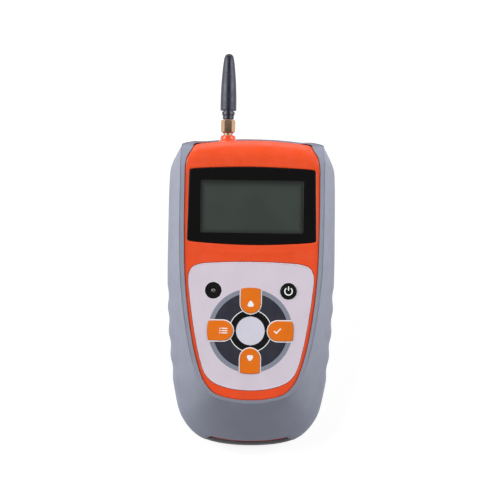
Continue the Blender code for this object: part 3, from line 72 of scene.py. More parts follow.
# Lays a shape that was turned about Z along the antenna's axis.
TO_ANTENNA = Matrix.Translation((ANTENNA_X, 0, ANTENNA_Z)) @ Matrix.Rotation(-math.pi / 2, 4, "X")

Ring = list[Vector]
Pair = tuple[float, float]
Triple = tuple[float, float, float]
Colour = Triple
Points = Sequence[Sequence[float]]
Socket = bpy.types.NodeSocket


# Outlines


def held(value: float) -> float:
    """Hold a value between nought and one."""
    return min(max(value, 0.0), 1.0)


def even(steps: int) -> tuple[float, ...]:
    """Give the shares of a span at even steps, without its end."""
    return tuple(step / steps for step in range(steps))


def curve_point(points: Sequence[Vector], share: float) -> Vector:
    """Find a point on a centripetal curve between the middle two of four points.

    Args:
        points: Four points, of two or three numbers each.
        share: Way from the second point, 0, to the third, 1.

    Returns:
        The point on the curve.
    """
    knots = [0.0]
    for start, end in zip(points, points[1:]):
        knots.append(knots[-1] + math.sqrt(max((end - start).length, TINY)))
    place = knots[1] + (knots[2] - knots[1]) * share

    def mix(first: Vector, second: Vector, low: int, high: int) -> Vector:
        """Blend two points between two knots."""
        span = knots[high] - knots[low]
        return first * ((knots[high] - place) / span) + second * ((place - knots[low]) / span)

    a, b, c = (mix(points[k], points[k + 1], k, k + 1) for k in range(3))
    return mix(mix(a, b, 0, 2), mix(b, c, 1, 3), 1, 2)


def mirrored_outline(points: Points, shares: Points,
                     straight: Sequence[int] = ()) -> Ring:
    """Draw a smooth closed outline through right-hand points and their mirror image.

    Args:
        points: Points from the top middle, clockwise, to the bottom middle.
        shares: For each span between two points, where it is sampled.
        straight: Spans that are straight lines.

    Returns:
        The outline, clockwise from the top middle.
    """
    flip = Vector((-1, 1))
    right = [Vector(point) for point in points]
    padded = [right[1] * flip, *right, right[-2] * flip]
    drawn = []
    for span, places in enumerate(shares):
        near = padded[span:span + 4]
        if span in straight:
            near[0], near[3] = near[1] * 2 - near[2], near[2] * 2 - near[1]
        drawn += [curve_point(near, share) for share in places]
    drawn.append(right[-1])
    return drawn + [point * flip for point in reversed(drawn[1:-1])]


def spread(values: Sequence[float], shares: Points) -> list[float]:
    """Spread one value for each outline point over the samples of a mirrored outline.

    Args:
        values: One value for each right-hand point.
        shares: For each span, where it is sampled.

    Returns:
        One value for each sample of the closed outline.
    """
    right = [values[span] + (values[span + 1] - values[span]) * share
             for span, places in enumerate(shares) for share in places]
    right.append(values[-1])
    return right + right[-2:0:-1]


def fitted(shape: Points, half_width: float, foot: float, top: float) -> list[Pair]:
    """Scale shares of half width and of height into a box."""
    return [(x * half_width, foot + (top - foot) * y) for x, y in shape]


def inset(outline: Ring, distance: float | Sequence[float]) -> Ring:
    """Move every point of a clockwise outline inwards.

    Args:
        outline: The outline.
        distance: One distance, or one for each point.

    Returns:
        The moved outline.
    """
    count = len(outline)
    distances = [distance] * count if isinstance(distance, (int, float)) else distance
    moved = []
    for index, point in enumerate(outline):
        run = outline[(index + 1) % count] - outline[index - 1]
        moved.append(point + Vector((run.y, -run.x)).normalized() * distances[index])
    return moved


def blend(first: Ring, second: Ring, share: float | Sequence[float]) -> Ring:
    """Mix two outlines point by point, by one share or by one for each point."""
    shares = [share] * len(first) if isinstance(share, (int, float)) else share
    return [a.lerp(b, part) for a, b, part in zip(first, second, shares)]


def lift(outline: Ring, height: float | Sequence[float]) -> Ring:
    """Lift a flat outline to one height, or to one for each point."""
    heights = [height] * len(outline) if isinstance(height, (int, float)) else height
    return [Vector((point.x, point.y, level)) for point, level in zip(outline, heights)]


def circle(radius: float, centre: Sequence[float] = (0, 0), sides: int = 64) -> Ring:
    """Draw a clockwise circle."""
    turns = [-2 * math.pi * index / sides for index in range(sides)]
    return [Vector((centre[0] + radius * math.cos(turn), centre[1] + radius * math.sin(turn))) for turn in turns]


def round_box(half_x: float, half_y: float, corner: float, centre: Sequence[float] = (0, 0), steps: int = 8) -> Ring:
    """Draw a clockwise rectangle with round corners.

    Args:
        half_x: Half its width.
        half_y: Half its height.
        corner: Radius of its corners.
        centre: Its middle.
        steps: Number of edges in each corner.

    Returns:
        The outline.
    """
    outline = []
    for sign_x, sign_y, start in ((1, 1, 90), (1, -1, 0), (-1, -1, -90), (-1, 1, -180)):
        for step in range(steps + 1):
            turn = math.radians(start - 90 * step / steps)
            outline.append(Vector((centre[0] + sign_x * (half_x - corner) + corner * math.cos(turn),
                                   centre[1] + sign_y * (half_y - corner) + corner * math.sin(turn))))
    return outline


def turned(outline: Ring, angle: float, place: Sequence[float] = (0, 0)) -> Ring:
    """Turn an outline about the origin and move it to a place."""
    turn = Matrix.Rotation(angle, 2)
    return [turn @ point + Vector(place) for point in outline]


def drawn_in(ring: Ring, distance: float) -> Ring:
    """Move a ring in space inwards, with every point at its own height."""
    return lift(inset([point.xy for point in ring], distance), [point.z for point in ring])


def beaded(outline: Ring, level: float, width: float, height: float, steps: int = 6) -> list[Ring]:
    """Raise a low bead along an outline.

    Args:
        outline: The bead's first edge.
        level: Height of the flat that it stands on.
        width: Distance to its second edge, below nought for a bead outside the outline.
        height: How far it stands up.
        steps: Number of rings past the first.

    Returns:
        Rings from the first edge over the bead to the second.
    """
    return [lift(inset(outline, width * step / steps), level + height * math.sin(math.pi * step / steps))
            for step in range(steps + 1)]


def eased(outline: Ring, top: float, ease: float, steps: int = 4) -> list[Ring]:
    """Round the upper edge of an upright wall.

    Args:
        outline: The wall's outline.
        top: Height of the flat that the edge runs into.
        ease: Radius of the edge, below nought where the outline is a hole.
        steps: Number of rings past the first.

    Returns:
        Rings from the wall to the flat.
    """
    rings = []
    for step in range(steps + 1):
        turn = math.pi / 2 * step / steps
        drawn = inset(outline, ease * (1 - math.cos(turn)))
        rings.append(lift(drawn, top - abs(ease) * (1 - math.sin(turn))))
    return rings


class Solid:
    """A mesh in the making, grown from rings, fills and spins."""

    WELD = 1e-4
    SLIVER = 1e-5

    def __init__(self) -> None:
        """Start with nothing."""
        self.shape = bmesh.new()

    def tube(self, rings: Sequence[Ring], closed: bool = True) -> tuple[list, list]:
        """Extrude a ring of edges from one outline to the next.

        Args:
            rings: Outlines in space, all of the same count.
            closed: Whether each ring closes on itself.

        Returns:
            The edges of the first ring and of the last.
        """
        current = [self.shape.verts.new(point) for point in rings[0]]
        pairs = zip(current, current[1:] + current[:1]) if closed else zip(current, current[1:])
        first = edges = [self.shape.edges.new(pair) for pair in pairs]
        for ring in rings[1:]:
            grown = bmesh.ops.extrude_edge_only(self.shape, edges=edges)["geom"]
            edges = [part for part in grown if isinstance(part, bmesh.types.BMEdge)]
            fresh = {tuple(part.co): part for part in grown if isinstance(part, bmesh.types.BMVert)}
            current = [fresh[tuple(old.co)] for old in current]
            for vertex, point in zip(current, ring):
                vertex.co = point
            edges = [edge for edge in edges if edge.verts[0] in set(current) and edge.verts[1] in set(current)]
        return first, edges

    def fill(self, *loops: Sequence) -> None:
        """Fill the flat between an outer loop of edges and the loops of its holes."""
        edges = [edge for loop in loops for edge in loop]
        bmesh.ops.triangle_fill(self.shape, use_beauty=True, use_dissolve=False, edges=edges)

    def block(self, rings: Sequence[Ring]) -> Solid:
        """Add a tube with both ends filled."""
        for end in self.tube(rings):
            self.fill(end)
        return self

    def hoop(self, rings: Sequence[Ring]) -> Solid:
        """Add a tube whose last ring runs back into its first."""
        self.tube([*rings, rings[0]])
        return self

    def plate(self, outer: Ring, holes: Sequence[Ring], foot: float, top: float, ease: float) -> Solid:
        """Add a flat plate with holes and eased upper edges.

        Args:
            outer: Its outline.
            holes: The outlines of its holes.
            foot: Height of its lower side.
            top: Height of its upper side.
            ease: Radius of its upper edges.

        Returns:
            This solid.
        """
        ends = [self.tube([lift(outer, foot), *eased(outer, top, ease)])]
        ends += [self.tube([lift(hole, foot), *eased(hole, top, -ease)]) for hole in holes]
        self.fill(*(end[0] for end in ends))
        self.fill(*(end[1] for end in ends))
        return self

    def thicken(self, depth: float) -> Solid:
        """Give the open sheets made so far a depth below their upper side.

        Args:
            depth: The depth.

        Returns:
            This solid.
        """
        bmesh.ops.recalc_face_normals(self.shape, faces=self.shape.faces)
        bmesh.ops.reverse_faces(self.shape, faces=[face for face in self.shape.faces if face.normal.z < 0])
        bmesh.ops.solidify(self.shape, geom=self.shape.faces, thickness=depth)
        return self

    def spin(self, profile: Points, sides: int = 96) -> Solid:
        """Turn a closed profile about Z.

        Args:
            profile: Pairs of radius and height.
            sides: Number of steps round.

        Returns:
            This solid.
        """
        points = [self.shape.verts.new((radius, 0, height)) for radius, height in profile]
        edges = [self.shape.edges.new(pair) for pair in zip(points, points[1:] + points[:1])
                 if pair[0].co.x > 0 or pair[1].co.x > 0]
        bmesh.ops.spin(self.shape, geom=points + edges, axis=(0, 0, 1), cent=(0, 0, 0), angle=2 * math.pi,
                       steps=sides, use_merge=True)
        return self

    def move(self, matrix: Matrix) -> Solid:
        """Move everything made so far."""
        bmesh.ops.transform(self.shape, matrix=matrix, verts=self.shape.verts)
        return self

    def add(self, other: Solid) -> Solid:
        """Take in another solid as a part of this one.

        Args:
            other: The other solid, used up by this.

        Returns:
            This solid.
        """
        mesh = other.finished("part")
        self.shape.from_mesh(mesh)
        bpy.data.meshes.remove(mesh)
        return self

    def finished(self, name: str) -> bpy.types.Mesh:
        """Weld the seams, turn the faces outwards and write a mesh.

        Args:
            name: The mesh's name.

        Returns:
            The mesh. The solid is used up.
        """
        bmesh.ops.remove_doubles(self.shape, verts=self.shape.verts, dist=self.WELD)
        bmesh.ops.dissolve_degenerate(self.shape, edges=self.shape.edges, dist=self.SLIVER)
        bmesh.ops.recalc_face_normals(self.shape, faces=self.shape.faces)
        mesh = bpy.data.meshes.new(name)
        self.shape.to_mesh(mesh)
        self.shape.free()
        return mesh


# Finishes


class NodeSheet:
    """The nodes of one material round a single surface shader."""

    def __init__(self, name: str) -> None:
        """Start a material that reads the piece's own coordinates.

        Args:
            name: The material's name.
        """
        self.material = bpy.data.materials.new(name)
        self.material.use_nodes = True
        self.tree = self.material.node_tree
        self.shader = self.tree.nodes["Principled BSDF"]
        self.place = self.tree.nodes.new("ShaderNodeTexCoord").outputs["Object"]

    def node(self, kind: str, inputs: dict[str | int, object] | None = None, **settings: object) -> bpy.types.Node:
        """Add a node.

        Args:
            kind: Its type.
            inputs: A socket to link or a value to set, for each input by name or number.
            settings: The node's own settings.

        Returns:
            The node.
        """
        made = self.tree.nodes.new(kind)
        for key, value in settings.items():
            setattr(made, key, value)
        for key, value in (inputs or {}).items():
            if isinstance(value, bpy.types.NodeSocket):
                self.tree.links.new(value, made.inputs[key])
            else:
                made.inputs[key].default_value = value
        return made

    def noise(self, size: float, detail: float = 2.0, stretch: Sequence[float] | None = None) -> Socket:
        """Give noise over the surface.

        Args:
            size: About how many millimetres wide its blobs are.
            detail: How many finer layers it has.
            stretch: Scale along each axis, where it isn't the same.

        Returns:
            The noise, from nought to one.
        """
        place = self.place
        if stretch is not None:
            place = self.node("ShaderNodeMapping", {"Vector": place, "Scale": tuple(stretch)}).outputs[0]
        made = self.node("ShaderNodeTexNoise", {"Vector": place, "Scale": 1 / (size * MM), "Detail": detail})
        return made.outputs["Fac"]

    def ranged(self, value: Socket, low: float, high: float, out_low: float, out_high: float) -> Socket:
        """Map a value from one range to another, held at both ends.

        Args:
            value: The value.
            low: Where its range starts.
            high: Where its range ends.
            out_low: What the start becomes.
            out_high: What the end becomes.

        Returns:
            The mapped value.
        """
        made = self.node("ShaderNodeMapRange", {"Value": value, "From Min": low, "From Max": high,
                                                "To Min": out_low, "To Max": out_high},
                         interpolation_type="SMOOTHSTEP")
        return made.outputs["Result"]

    def mixed(self, share: Socket, first: object, second: object) -> Socket:
        """Mix two colours.

        Args:
            share: Way from the first to the second.
            first: A colour or a socket.
            second: A colour or a socket.

        Returns:
            The mixed colour.
        """
        made = self.node("ShaderNodeMix", {"Factor": share}, data_type="RGBA")
        for socket, value in ((made.inputs[6], first), (made.inputs[7], second)):
            if isinstance(value, bpy.types.NodeSocket):
                self.tree.links.new(value, socket)
            else:
                socket.default_value = (*value, 1)
        return made.outputs[2]

    def maths(self, operation: str, first: object, second: object = 0.0) -> Socket:
        """Join two values by a mathematical operation."""
        return self.node("ShaderNodeMath", {0: first, 1: second}, operation=operation).outputs[0]

    def bump(self, height: Socket, distance: float, strength: float = 1.0, below: Socket | None = None) -> Socket:
        """Raise the surface.

        Args:
            height: Share of the distance at each place.
            distance: Height in millimetres.
            strength: How strongly it shows.
            below: A bump that it lies on, if there is one.

        Returns:
            The bumped normal.
        """
        inputs: dict[str | int, object] = {"Height": height, "Distance": distance * MM, "Strength": strength}
        if below is not None:
            inputs["Normal"] = below
        return self.node("ShaderNodeBump", inputs).outputs["Normal"]

    def scaled(self, colour: Socket, share: Socket) -> Socket:
        """Multiply a colour by one value."""
        grey = self.node("ShaderNodeCombineXYZ", {"X": share, "Y": share, "Z": share}).outputs[0]
        return self.node("ShaderNodeVectorMath", {0: colour, 1: grey}, operation="MULTIPLY").outputs[0]

    def feed(self, name: str, value: Socket) -> None:
        """Link a value to the shader."""
        self.tree.links.new(value, self.shader.inputs[name])


@dataclass(frozen=True)
class Finish:
    """A moulded or painted surface: a slightly uneven colour, a fine grain and a roughness that varies."""

    name: str
    colour: Colour
    roughness: float
    mottle: float = 0.05
    mottle_size: float = 14.0
    speck: float = 0.03
    grain_size: float = 0.35
    grain_height: float = 0.010
    rough_spread: float = 0.06
    metallic: float = 0.0
    specular: float = 0.5
    coat: float = 0.0
    coat_roughness: float = 0.08
    sheen: float = 0.0
    sheen_roughness: float = 0.5
    sheen_tint: Colour = (1.0, 1.0, 1.0)
    gloss_tint: Colour = (1.0, 1.0, 1.0)
    wear_share: float = 0.4

    def shade(self, share: float) -> Colour:
        """Give the colour made brighter or darker by a share."""
        red, green, blue = (min(part * (1 + share), 1.0) for part in self.colour)
        return red, green, blue

    def colours(self, sheet: NodeSheet) -> Socket:
        """Give the colour over the surface.

        Args:
            sheet: The material's nodes.

        Returns:
            The colour, with broad mottling and fine specks.
        """
        broad = sheet.mixed(sheet.ranged(sheet.noise(self.mottle_size, 3), *BROAD_NOISE, 0, 1),
                            self.shade(-self.mottle), self.shade(self.mottle))
        fine = sheet.ranged(sheet.noise(self.grain_size * 2), *FINE_NOISE, 1 - self.speck, 1 + self.speck)
        return sheet.scaled(broad, fine)

    def relief(self, sheet: NodeSheet) -> Socket:
        """Give the surface's small relief."""
        return sheet.bump(sheet.noise(self.grain_size), self.grain_height)

    def material(self) -> bpy.types.Material:
        """Make the material.

        Returns:
            A material of nodes round one surface shader.
        """
        sheet = NodeSheet(self.name)
        sheet.feed("Base Color", self.colours(sheet))
        wear = sheet.noise(self.mottle_size * self.wear_share, 4)
        sheet.feed("Roughness", sheet.ranged(wear, *BROAD_NOISE, self.roughness - self.rough_spread,
                                             self.roughness + self.rough_spread))
        sheet.feed("Normal", self.relief(sheet))
        constants = {"Metallic": self.metallic, "Specular IOR Level": self.specular, "Coat Weight": self.coat,
                     "Coat Roughness": self.coat_roughness, "Sheen Weight": self.sheen,
                     "Sheen Roughness": self.sheen_roughness, "Sheen Tint": (*self.sheen_tint, 1),
                     "Specular Tint": (*self.gloss_tint, 1)}
        for name, value in constants.items():
            sheet.shader.inputs[name].default_value = value
        return sheet.material


@dataclass(frozen=True)
class DisplayFinish(Finish):
    """Display glass with a painted shadow that darkens it towards its frame, most along the top, and a faint raster of
    dots.
    """

    centre_y: float = 55.5
    half: Pair = (32.5, 16.8)
    # Painted shadow along the frame: its colour, then the band's width and depth at the sides, the top and the foot.
    edge: Colour = (0.024, 0.026, 0.023)
    painted_shadows: tuple = ((3.4, 0.75), (5.5, 1.0), (3.0, 0.7))
    pitch: float = 0.5
    line_share: float = 0.125
    line_shade: float = 0.98
    glow_size: float = 26.0

    def colours(self, sheet: NodeSheet) -> Socket:
        """Give the colour: a painted shadow darkens it in a band along the frame, widest and darkest at the top, with
        dots at the display's pitch.

        Args:
            sheet: The material's nodes.

        Returns:
            The colour.
        """
        parts = sheet.node("ShaderNodeSeparateXYZ", {0: sheet.place})
        across = sheet.maths("ABSOLUTE", parts.outputs["X"])
        up = sheet.maths("SUBTRACT", parts.outputs["Y"], (self.centre_y - BODY_MIDDLE) * MM)
        down = sheet.maths("MULTIPLY", up, -1.0)
        half_x, half_y = self.half
        # Painted shadow: a band inside each edge of the frame, the top's widest and darkest, mixed towards the shadow
        # colour.
        painted_shades = [sheet.ranged(way, (half - width) * MM, half * MM, 0, depth)
                  for way, half, (width, depth) in zip((across, up, down), (half_x, half_y, half_y), self.painted_shadows)]
        dots = [sheet.maths("PINGPONG", parts.outputs[axis], self.pitch * MM / 2) for axis in "XY"]
        lines = sheet.ranged(sheet.maths("MINIMUM", *dots), 0, self.pitch * MM * self.line_share, self.line_shade, 1)
        glow = sheet.mixed(sheet.ranged(sheet.noise(self.glow_size, 1), *FINE_NOISE, 0, 1), self.shade(-self.mottle),
                           self.shade(self.mottle))
        deepest_painted_shade = sheet.maths("MAXIMUM", sheet.maths("MAXIMUM", *painted_shades[:2]), painted_shades[2])
        return sheet.scaled(sheet.mixed(deepest_painted_shade, glow, self.edge), lines)


@dataclass(frozen=True)
class RingFinish(Finish):
    """Ink printed in fine rings about the dial's middle."""

    centre_y: float = -23.6
    spacing: float = 0.95
    contrast: float = 0.22

    def colours(self, sheet: NodeSheet) -> Socket:
        """Give the colour: lighter and darker rings by the distance from the middle.

        Args:
            sheet: The material's nodes.

        Returns:
            The colour.
        """
        middle = (0, (self.centre_y - BODY_MIDDLE) * MM, 0)
        away = sheet.node("ShaderNodeVectorMath", {0: sheet.place, 1: middle}, operation="SUBTRACT").outputs[0]
        flat = sheet.node("ShaderNodeVectorMath", {0: away, 1: (1, 1, 0)}, operation="MULTIPLY").outputs[0]
        reach = sheet.node("ShaderNodeVectorMath", {0: flat}, operation="LENGTH").outputs["Value"]
        wave = sheet.maths("PINGPONG", reach, self.spacing * MM / 2)
        share = sheet.ranged(wave, 0, self.spacing * MM / 2, 0, 1)
        return sheet.mixed(share, self.shade(-self.contrast), self.shade(self.contrast))


@dataclass(frozen=True)
class TurnedFinish(Finish):
    """Metal turned on a lathe: fine rings across one axis."""

    axis: int = 1
    ring_size: float = 0.12
    drawn_out: float = 0.04

    def relief(self, sheet: NodeSheet) -> Socket:
        """Give the turning marks."""
        stretch = [1.0 if axis == self.axis else self.drawn_out for axis in range(3)]
        return sheet.bump(sheet.noise(self.ring_size, 3, stretch), self.grain_height)


class Look(Enum):
    """The finishes of the pieces."""

    SHELL = Finish("orange_shell", (0.91, 0.080, 0.0115), 0.37, grain_size=0.30, grain_height=0.004, mottle=0.03,
                   specular=0.75)
    BOSS = Finish("orange_boss", (0.80, 0.084, 0.019), 0.22, grain_size=0.30, grain_height=0.002, mottle=0.03,
                  specular=0.5, coat=0.35, coat_roughness=0.16)
    BUMPER = Finish("grey_rubber", (0.293, 0.310, 0.390), 0.62, grain_size=0.22, grain_height=0.012, sheen=0.08,
                    mottle=0.03)
    BACK = Finish("charcoal_plastic", (0.098, 0.091, 0.102), 0.50, grain_size=0.45, grain_height=0.05)
    LENS = Finish("black_lens", (0.0045, 0.0042, 0.0048), 0.10, grain_size=5.0, grain_height=0.0005,
                  rough_spread=0.02, specular=0.35)
    GLASS = DisplayFinish("display_glass", (0.050, 0.063, 0.054), 0.16, mottle=0.06, grain_size=6.0,
                          grain_height=0.0005, rough_spread=0.02, specular=0.30)
    OVERLAY = Finish("keypad_film", (0.738, 0.657, 0.752), 0.42, grain_size=0.18, grain_height=0.006, mottle=0.02)
    SLATE = Finish("slate_ink", (0.027, 0.027, 0.044), 0.45, grain_size=0.18, grain_height=0.004)
    RING = RingFinish("grey_ink", (0.255, 0.275, 0.345), 0.45, grain_size=0.18, grain_height=0.004, mottle=0.03)
    BLACK = Finish("black_ink", (0.004, 0.004, 0.005), 0.42, grain_size=0.18, grain_height=0.004, specular=0.3)
    DISC = Finish("centre_film", (0.71, 0.70, 0.80), 0.42, grain_size=0.18, grain_height=0.006, mottle=0.02)
    WHITE = Finish("white_ink", (0.98, 0.97, 0.99), 0.45, grain_size=0.15, grain_height=0.004, mottle=0.02)
    KEY = Finish("orange_key", (0.86, 0.182, 0.003), 0.40, grain_size=0.20, grain_height=0.006, mottle=0.03)
    BUTTON = Finish("black_key", (0.004, 0.004, 0.005), 0.36, grain_size=0.25, grain_height=0.006, specular=0.35)
    LAMP = Finish("smoked_lamp", (0.13, 0.10, 0.10), 0.18, grain_size=1.5, grain_height=0.002, coat=0.6)
    SLEEVE = Finish("antenna_rubber", (0.004, 0.004, 0.007), 0.44, grain_size=0.30, grain_height=0.003,
                    specular=0.78, gloss_tint=(0.78, 0.80, 1.0), coat=0.08, coat_roughness=0.44,
                    sheen=1.0, sheen_roughness=0.34, sheen_tint=(0.72, 0.74, 1.0))
    COLLAR = Finish("collar_plastic", (0.016, 0.0155, 0.022), 0.30, grain_size=0.30, grain_height=0.004,
                    specular=0.62, gloss_tint=(0.88, 0.89, 1.0), sheen=0.25, sheen_roughness=0.32,
                    sheen_tint=(0.72, 0.74, 1.0))
    GOLD = TurnedFinish("gold_plate", (0.53, 0.335, 0.215), 0.34, metallic=1.0, grain_height=0.004, mottle=0.05,
                        rough_spread=0.05)
    THREAD = TurnedFinish("brass_thread", (0.55, 0.43, 0.32), 0.40, metallic=0.65, grain_height=0.004, mottle=0.05)
    STEEL = Finish("plated_steel", (0.58, 0.58, 0.59), 0.30, metallic=1.0, grain_size=0.5, grain_height=0.004)
    BOARD = Finish("circuit_board", (0.02, 0.16, 0.06), 0.45, grain_size=0.8, grain_height=0.02, mottle=0.12)
    CELL = Finish("cell_sleeve", (0.035, 0.050, 0.085), 0.26, grain_size=1.2, grain_height=0.004, mottle=0.06,
                  coat=0.4)
    BAND = Finish("cell_band", (0.46, 0.20, 0.045), 0.26, grain_size=1.2, grain_height=0.004, mottle=0.06,
                  coat=0.4)
    RED = Finish("red_insulation", (0.55, 0.02, 0.02), 0.42, grain_size=0.3, grain_height=0.006)
    WHITE_PLASTIC = Finish("light_guide", (0.80, 0.80, 0.80), 0.30, grain_size=0.6, grain_height=0.004)
    DARK = Finish("dark_plastic", (0.013, 0.013, 0.014), 0.50, grain_size=0.3, grain_height=0.010)


class Workbench:
    """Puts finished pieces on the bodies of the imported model."""

    TO_FRAME = Matrix.Scale(MM, 4) @ Matrix.Translation((0, -BODY_MIDDLE, 0))

    def __init__(self, nodes: dict[str, bpy.types.Object]) -> None:
        """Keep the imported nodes, with no material made yet."""
        self.nodes = nodes
        self.paints: dict[Look, bpy.types.Material] = {}

    def paint(self, look: Look) -> bpy.types.Material:
        """Give the material of a finish, made on its first use."""
        if look not in self.paints:
            self.paints[look] = look.value.material()
        return self.paints[look]

    def place(self, name: str, solid: Solid, look: Look, slot: str, body: str = "housing",
              stands_for: Sequence[str] = (), sharp: float = 35.0) -> bpy.types.Object:
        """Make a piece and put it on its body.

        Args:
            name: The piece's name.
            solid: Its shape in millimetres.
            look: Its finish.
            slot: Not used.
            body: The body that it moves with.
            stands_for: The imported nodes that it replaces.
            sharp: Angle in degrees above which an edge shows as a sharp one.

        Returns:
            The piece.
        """
        mesh = solid.finished(name)
        mesh.transform(self.TO_FRAME)
        mesh.materials.append(self.paint(look))
        mesh.shade_smooth()
        mesh.set_sharp_from_angle(angle=math.radians(sharp))
        piece = bpy.data.objects.new(name, mesh)
        bpy.context.scene.collection.objects.link(piece)
        even_light = piece.modifiers.new("even_light", "WEIGHTED_NORMAL")
        even_light.keep_sharp = True
        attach(piece, body)
        if stands_for:
            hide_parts(*stands_for)
        LOG.info("%s: %d faces on %s", name, len(mesh.polygons), body)
        return piece

    def dress(self, look: Look, names: Iterable[str]) -> None:
        """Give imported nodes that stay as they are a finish.

        Args:
            look: The finish.
            names: The nodes.
        """
        for name in names:
            materials = self.nodes[name].data.materials
            materials.clear()
            materials.append(self.paint(look))


@dataclass
class Group:
    """Pieces that belong together, with the bench that they are put on."""

    bench: Workbench


# The body


@dataclass
class BodyLines:
    """The body's main outlines, point for point in step with each other."""

    half_width: float = 54.2
    half_length: float = 99.7
    depth: float = 45.0
    face_z: float = 44.0
    front_half_width: float = 43.1
    front_top: float = 97.6
    front_foot: float = -67.7
    front_rim_z: float = 22.5
    rear_rim_z: float = 21.5
    back_levels: tuple = ((5.0, 0.6), (2.5, 2.6), (1.5, 7.1))
    lip_width: float = 3.0
    lip_foot_width: float = 2.2
    lip_top: float = 99.0
    groove_start: float = -62.0
    groove_ramp: float = 22.0
    foot_fall: float = 0.75
    fall_start: float = -10.0
    fall_ramp: float = 45.0
    edge_round: float = 1.2
    edge_drop: float = 0.55
    top_roll: float = 12.0
    roll_drop: float = 4.8
    roll_lead: float = 0.36
    bumper_wall: float = 3.0
    chin_wall: float = 6.0
    chin_length: float = 32.0
    top_band: float = 1.2
    band_half_width: float = 37.7
    band_ramp: float = 9.0
    gap: float = 0.6
    grip_start: float = 5.7
    grip_pitch: float = 15.6
    grip_count: int = 4
    grip_depth: float = 0.8
    body_shape: tuple = ((0, 1), (0.443, 0.990), (0.847, 0.954), (0.884, 0.922), (0.943, 0.859), (0.978, 0.804),
                         (0.991, 0.722), (0.999, 0.401), (1, 0.100), (0.982, -0.201), (0.948, -0.421),
                         (0.902, -0.622), (0.804, -0.818), (0.572, -0.949), (0, -1))
    core_corner: tuple = ((0.803, 0.964), (0.871, 0.931), (0.934, 0.859))
    front_shape: tuple = ((0, 1), (0.464, 0.9946), (0.882, 0.9772), (0.9026, 0.9635), (0.963, 0.9385),
                          (0.995, 0.903), (1, 0.845), (1, 0.6515), (0.979, 0.470), (0.907, 0.298),
                          (0.803, 0.1615), (0.673, 0.069), (0.522, 0.026), (0.278, 0.006), (0, 0))
    lip_shape: tuple = ((0, 1), (0.52, 0.994), (0.982, 0.9745), (0.987, 0.9620), (0.996, 0.926), (1, 0.891),
                        (1, 0.841), (1, 0.652), (0.981, 0.4755), (0.911, 0.306), (0.811, 0.170),
                        (0.681, 0.0755), (0.521, 0.028), (0.271, 0.008), (0, 0))
    face_shape: tuple = ((0, 1), (0.454, 0.997), (0.776, 0.989), (0.859, 0.980), (0.940, 0.963), (0.988, 0.941),
                         (1, 0.897), (1, 0.700), (0.9785, 0.503), (0.9045, 0.318), (0.7995, 0.172),
                         (0.671, 0.074), (0.523, 0.028), (0.282, 0.007), (0, 0))
    roll_share: tuple = (1, 1, 1, 0.65, 0.25, 0.06, 0, 0, 0, 0, 0, 0, 0, 0, 0)
    span_steps: tuple = (8, 36, 14, 10, 8, 6, 8, 12, 20, 20, 20, 10, 10)
    slot_shares: tuple = (0, .03, .055, .07, .078, .083, .087, .091, .095, .1, .106, .115, .13, .155, .19, .23, .28,
                          .34, .41, .49, .57, .65, .73, .81, .89, .95)
    body: Ring = field(init=False)
    front: Ring = field(init=False)
    lip: Ring = field(init=False)
    face: Ring = field(init=False)
    soft: Ring = field(init=False)
    core: Ring = field(init=False)
    roll_depths: list[float] = field(init=False)
    roll_leads: list[float] = field(init=False)
    lip_drops: list[float] = field(init=False)
    groove_shares: list[float] = field(init=False)
    crease_falls: list[float] = field(init=False)

    def __post_init__(self) -> None:
        """Draw the outlines, and what varies along them."""
        shares = [even(steps) for steps in self.span_steps] + [self.slot_shares]
        self.body = mirrored_outline(self.sized(self.body_shape), shares, (2, 3))
        self.front = mirrored_outline(fitted(self.front_shape, self.front_half_width, self.front_foot,
                                             self.front_top), shares, (2,))
        self.lip = mirrored_outline(fitted(self.lip_shape, self.front_half_width + self.lip_width,
                                           self.front_foot - self.lip_foot_width, self.lip_top), shares, (2,))
        self.face = mirrored_outline(fitted(self.face_shape, self.front_half_width - self.edge_round,
                                            self.front_foot + self.edge_round, self.front_top - self.top_roll),
                                     shares)
        soft_shape = (*self.body_shape[:2], *self.core_corner, *self.body_shape[5:])
        self.soft = mirrored_outline(self.sized(soft_shape), shares)
        self.core = inset(self.soft, [self.wall(point) + self.gap for point in self.soft])
        drop = spread(self.roll_share, shares)
        self.roll_depths = [self.edge_drop + (self.roll_drop - self.edge_drop) * share for share in drop]
        self.roll_leads = [self.roll_lead * share for share in drop]
        self.lip_drops = [self.roll_drop * share for share in drop]
        self.groove_shares = [held((point.y - self.groove_start) / self.groove_ramp) for point in self.lip]
        self.crease_falls = [self.foot_fall * held((self.fall_start - point.y) / self.fall_ramp) ** 2
                             for point in self.lip]

    def sized(self, shape: Points) -> list[Pair]:
        """Scale shares of half width and half length to the body."""
        return [(x * self.half_width, y * self.half_length) for x, y in shape]

    def wall(self, point: Vector) -> float:
        """Give the bumper's wall, thin along the top edge and thick round the chin.

        Args:
            point: A point of the soft outline.

        Returns:
            The wall's thickness there.
        """
        if point.y < 0:
            share = min(-point.y / (self.half_length - self.chin_length), 1.0)
            return self.bumper_wall + (self.chin_wall - self.bumper_wall) * share ** 3
        share = held((abs(point.x) - self.band_half_width) / self.band_ramp)
        return self.top_band + (self.bumper_wall - self.top_band) * share

    def shrunk(self, outline: Ring, distance: float) -> Ring:
        """Draw an outline in towards the middle, by a distance at the widest points."""
        return [Vector((point.x * (1 - distance / self.half_width), point.y * (1 - distance / self.half_length)))
                for point in outline]

    def slope(self, depths: Sequence[float]) -> Ring:
        """Give the ring on the front shell's slanted side that lies so deep below the face."""
        height = self.face_z - self.front_rim_z
        shares = [(depth - roll) / (height - roll) for depth, roll in zip(depths, self.roll_depths)]
        return lift(blend(self.front, self.core, shares), [self.face_z - depth for depth in depths])

    def halfway(self) -> Ring:
        """Give the ring halfway down the front shell's slanted side."""
        return self.slope([(depth + self.face_z - self.front_rim_z) / 2 for depth in self.roll_depths])

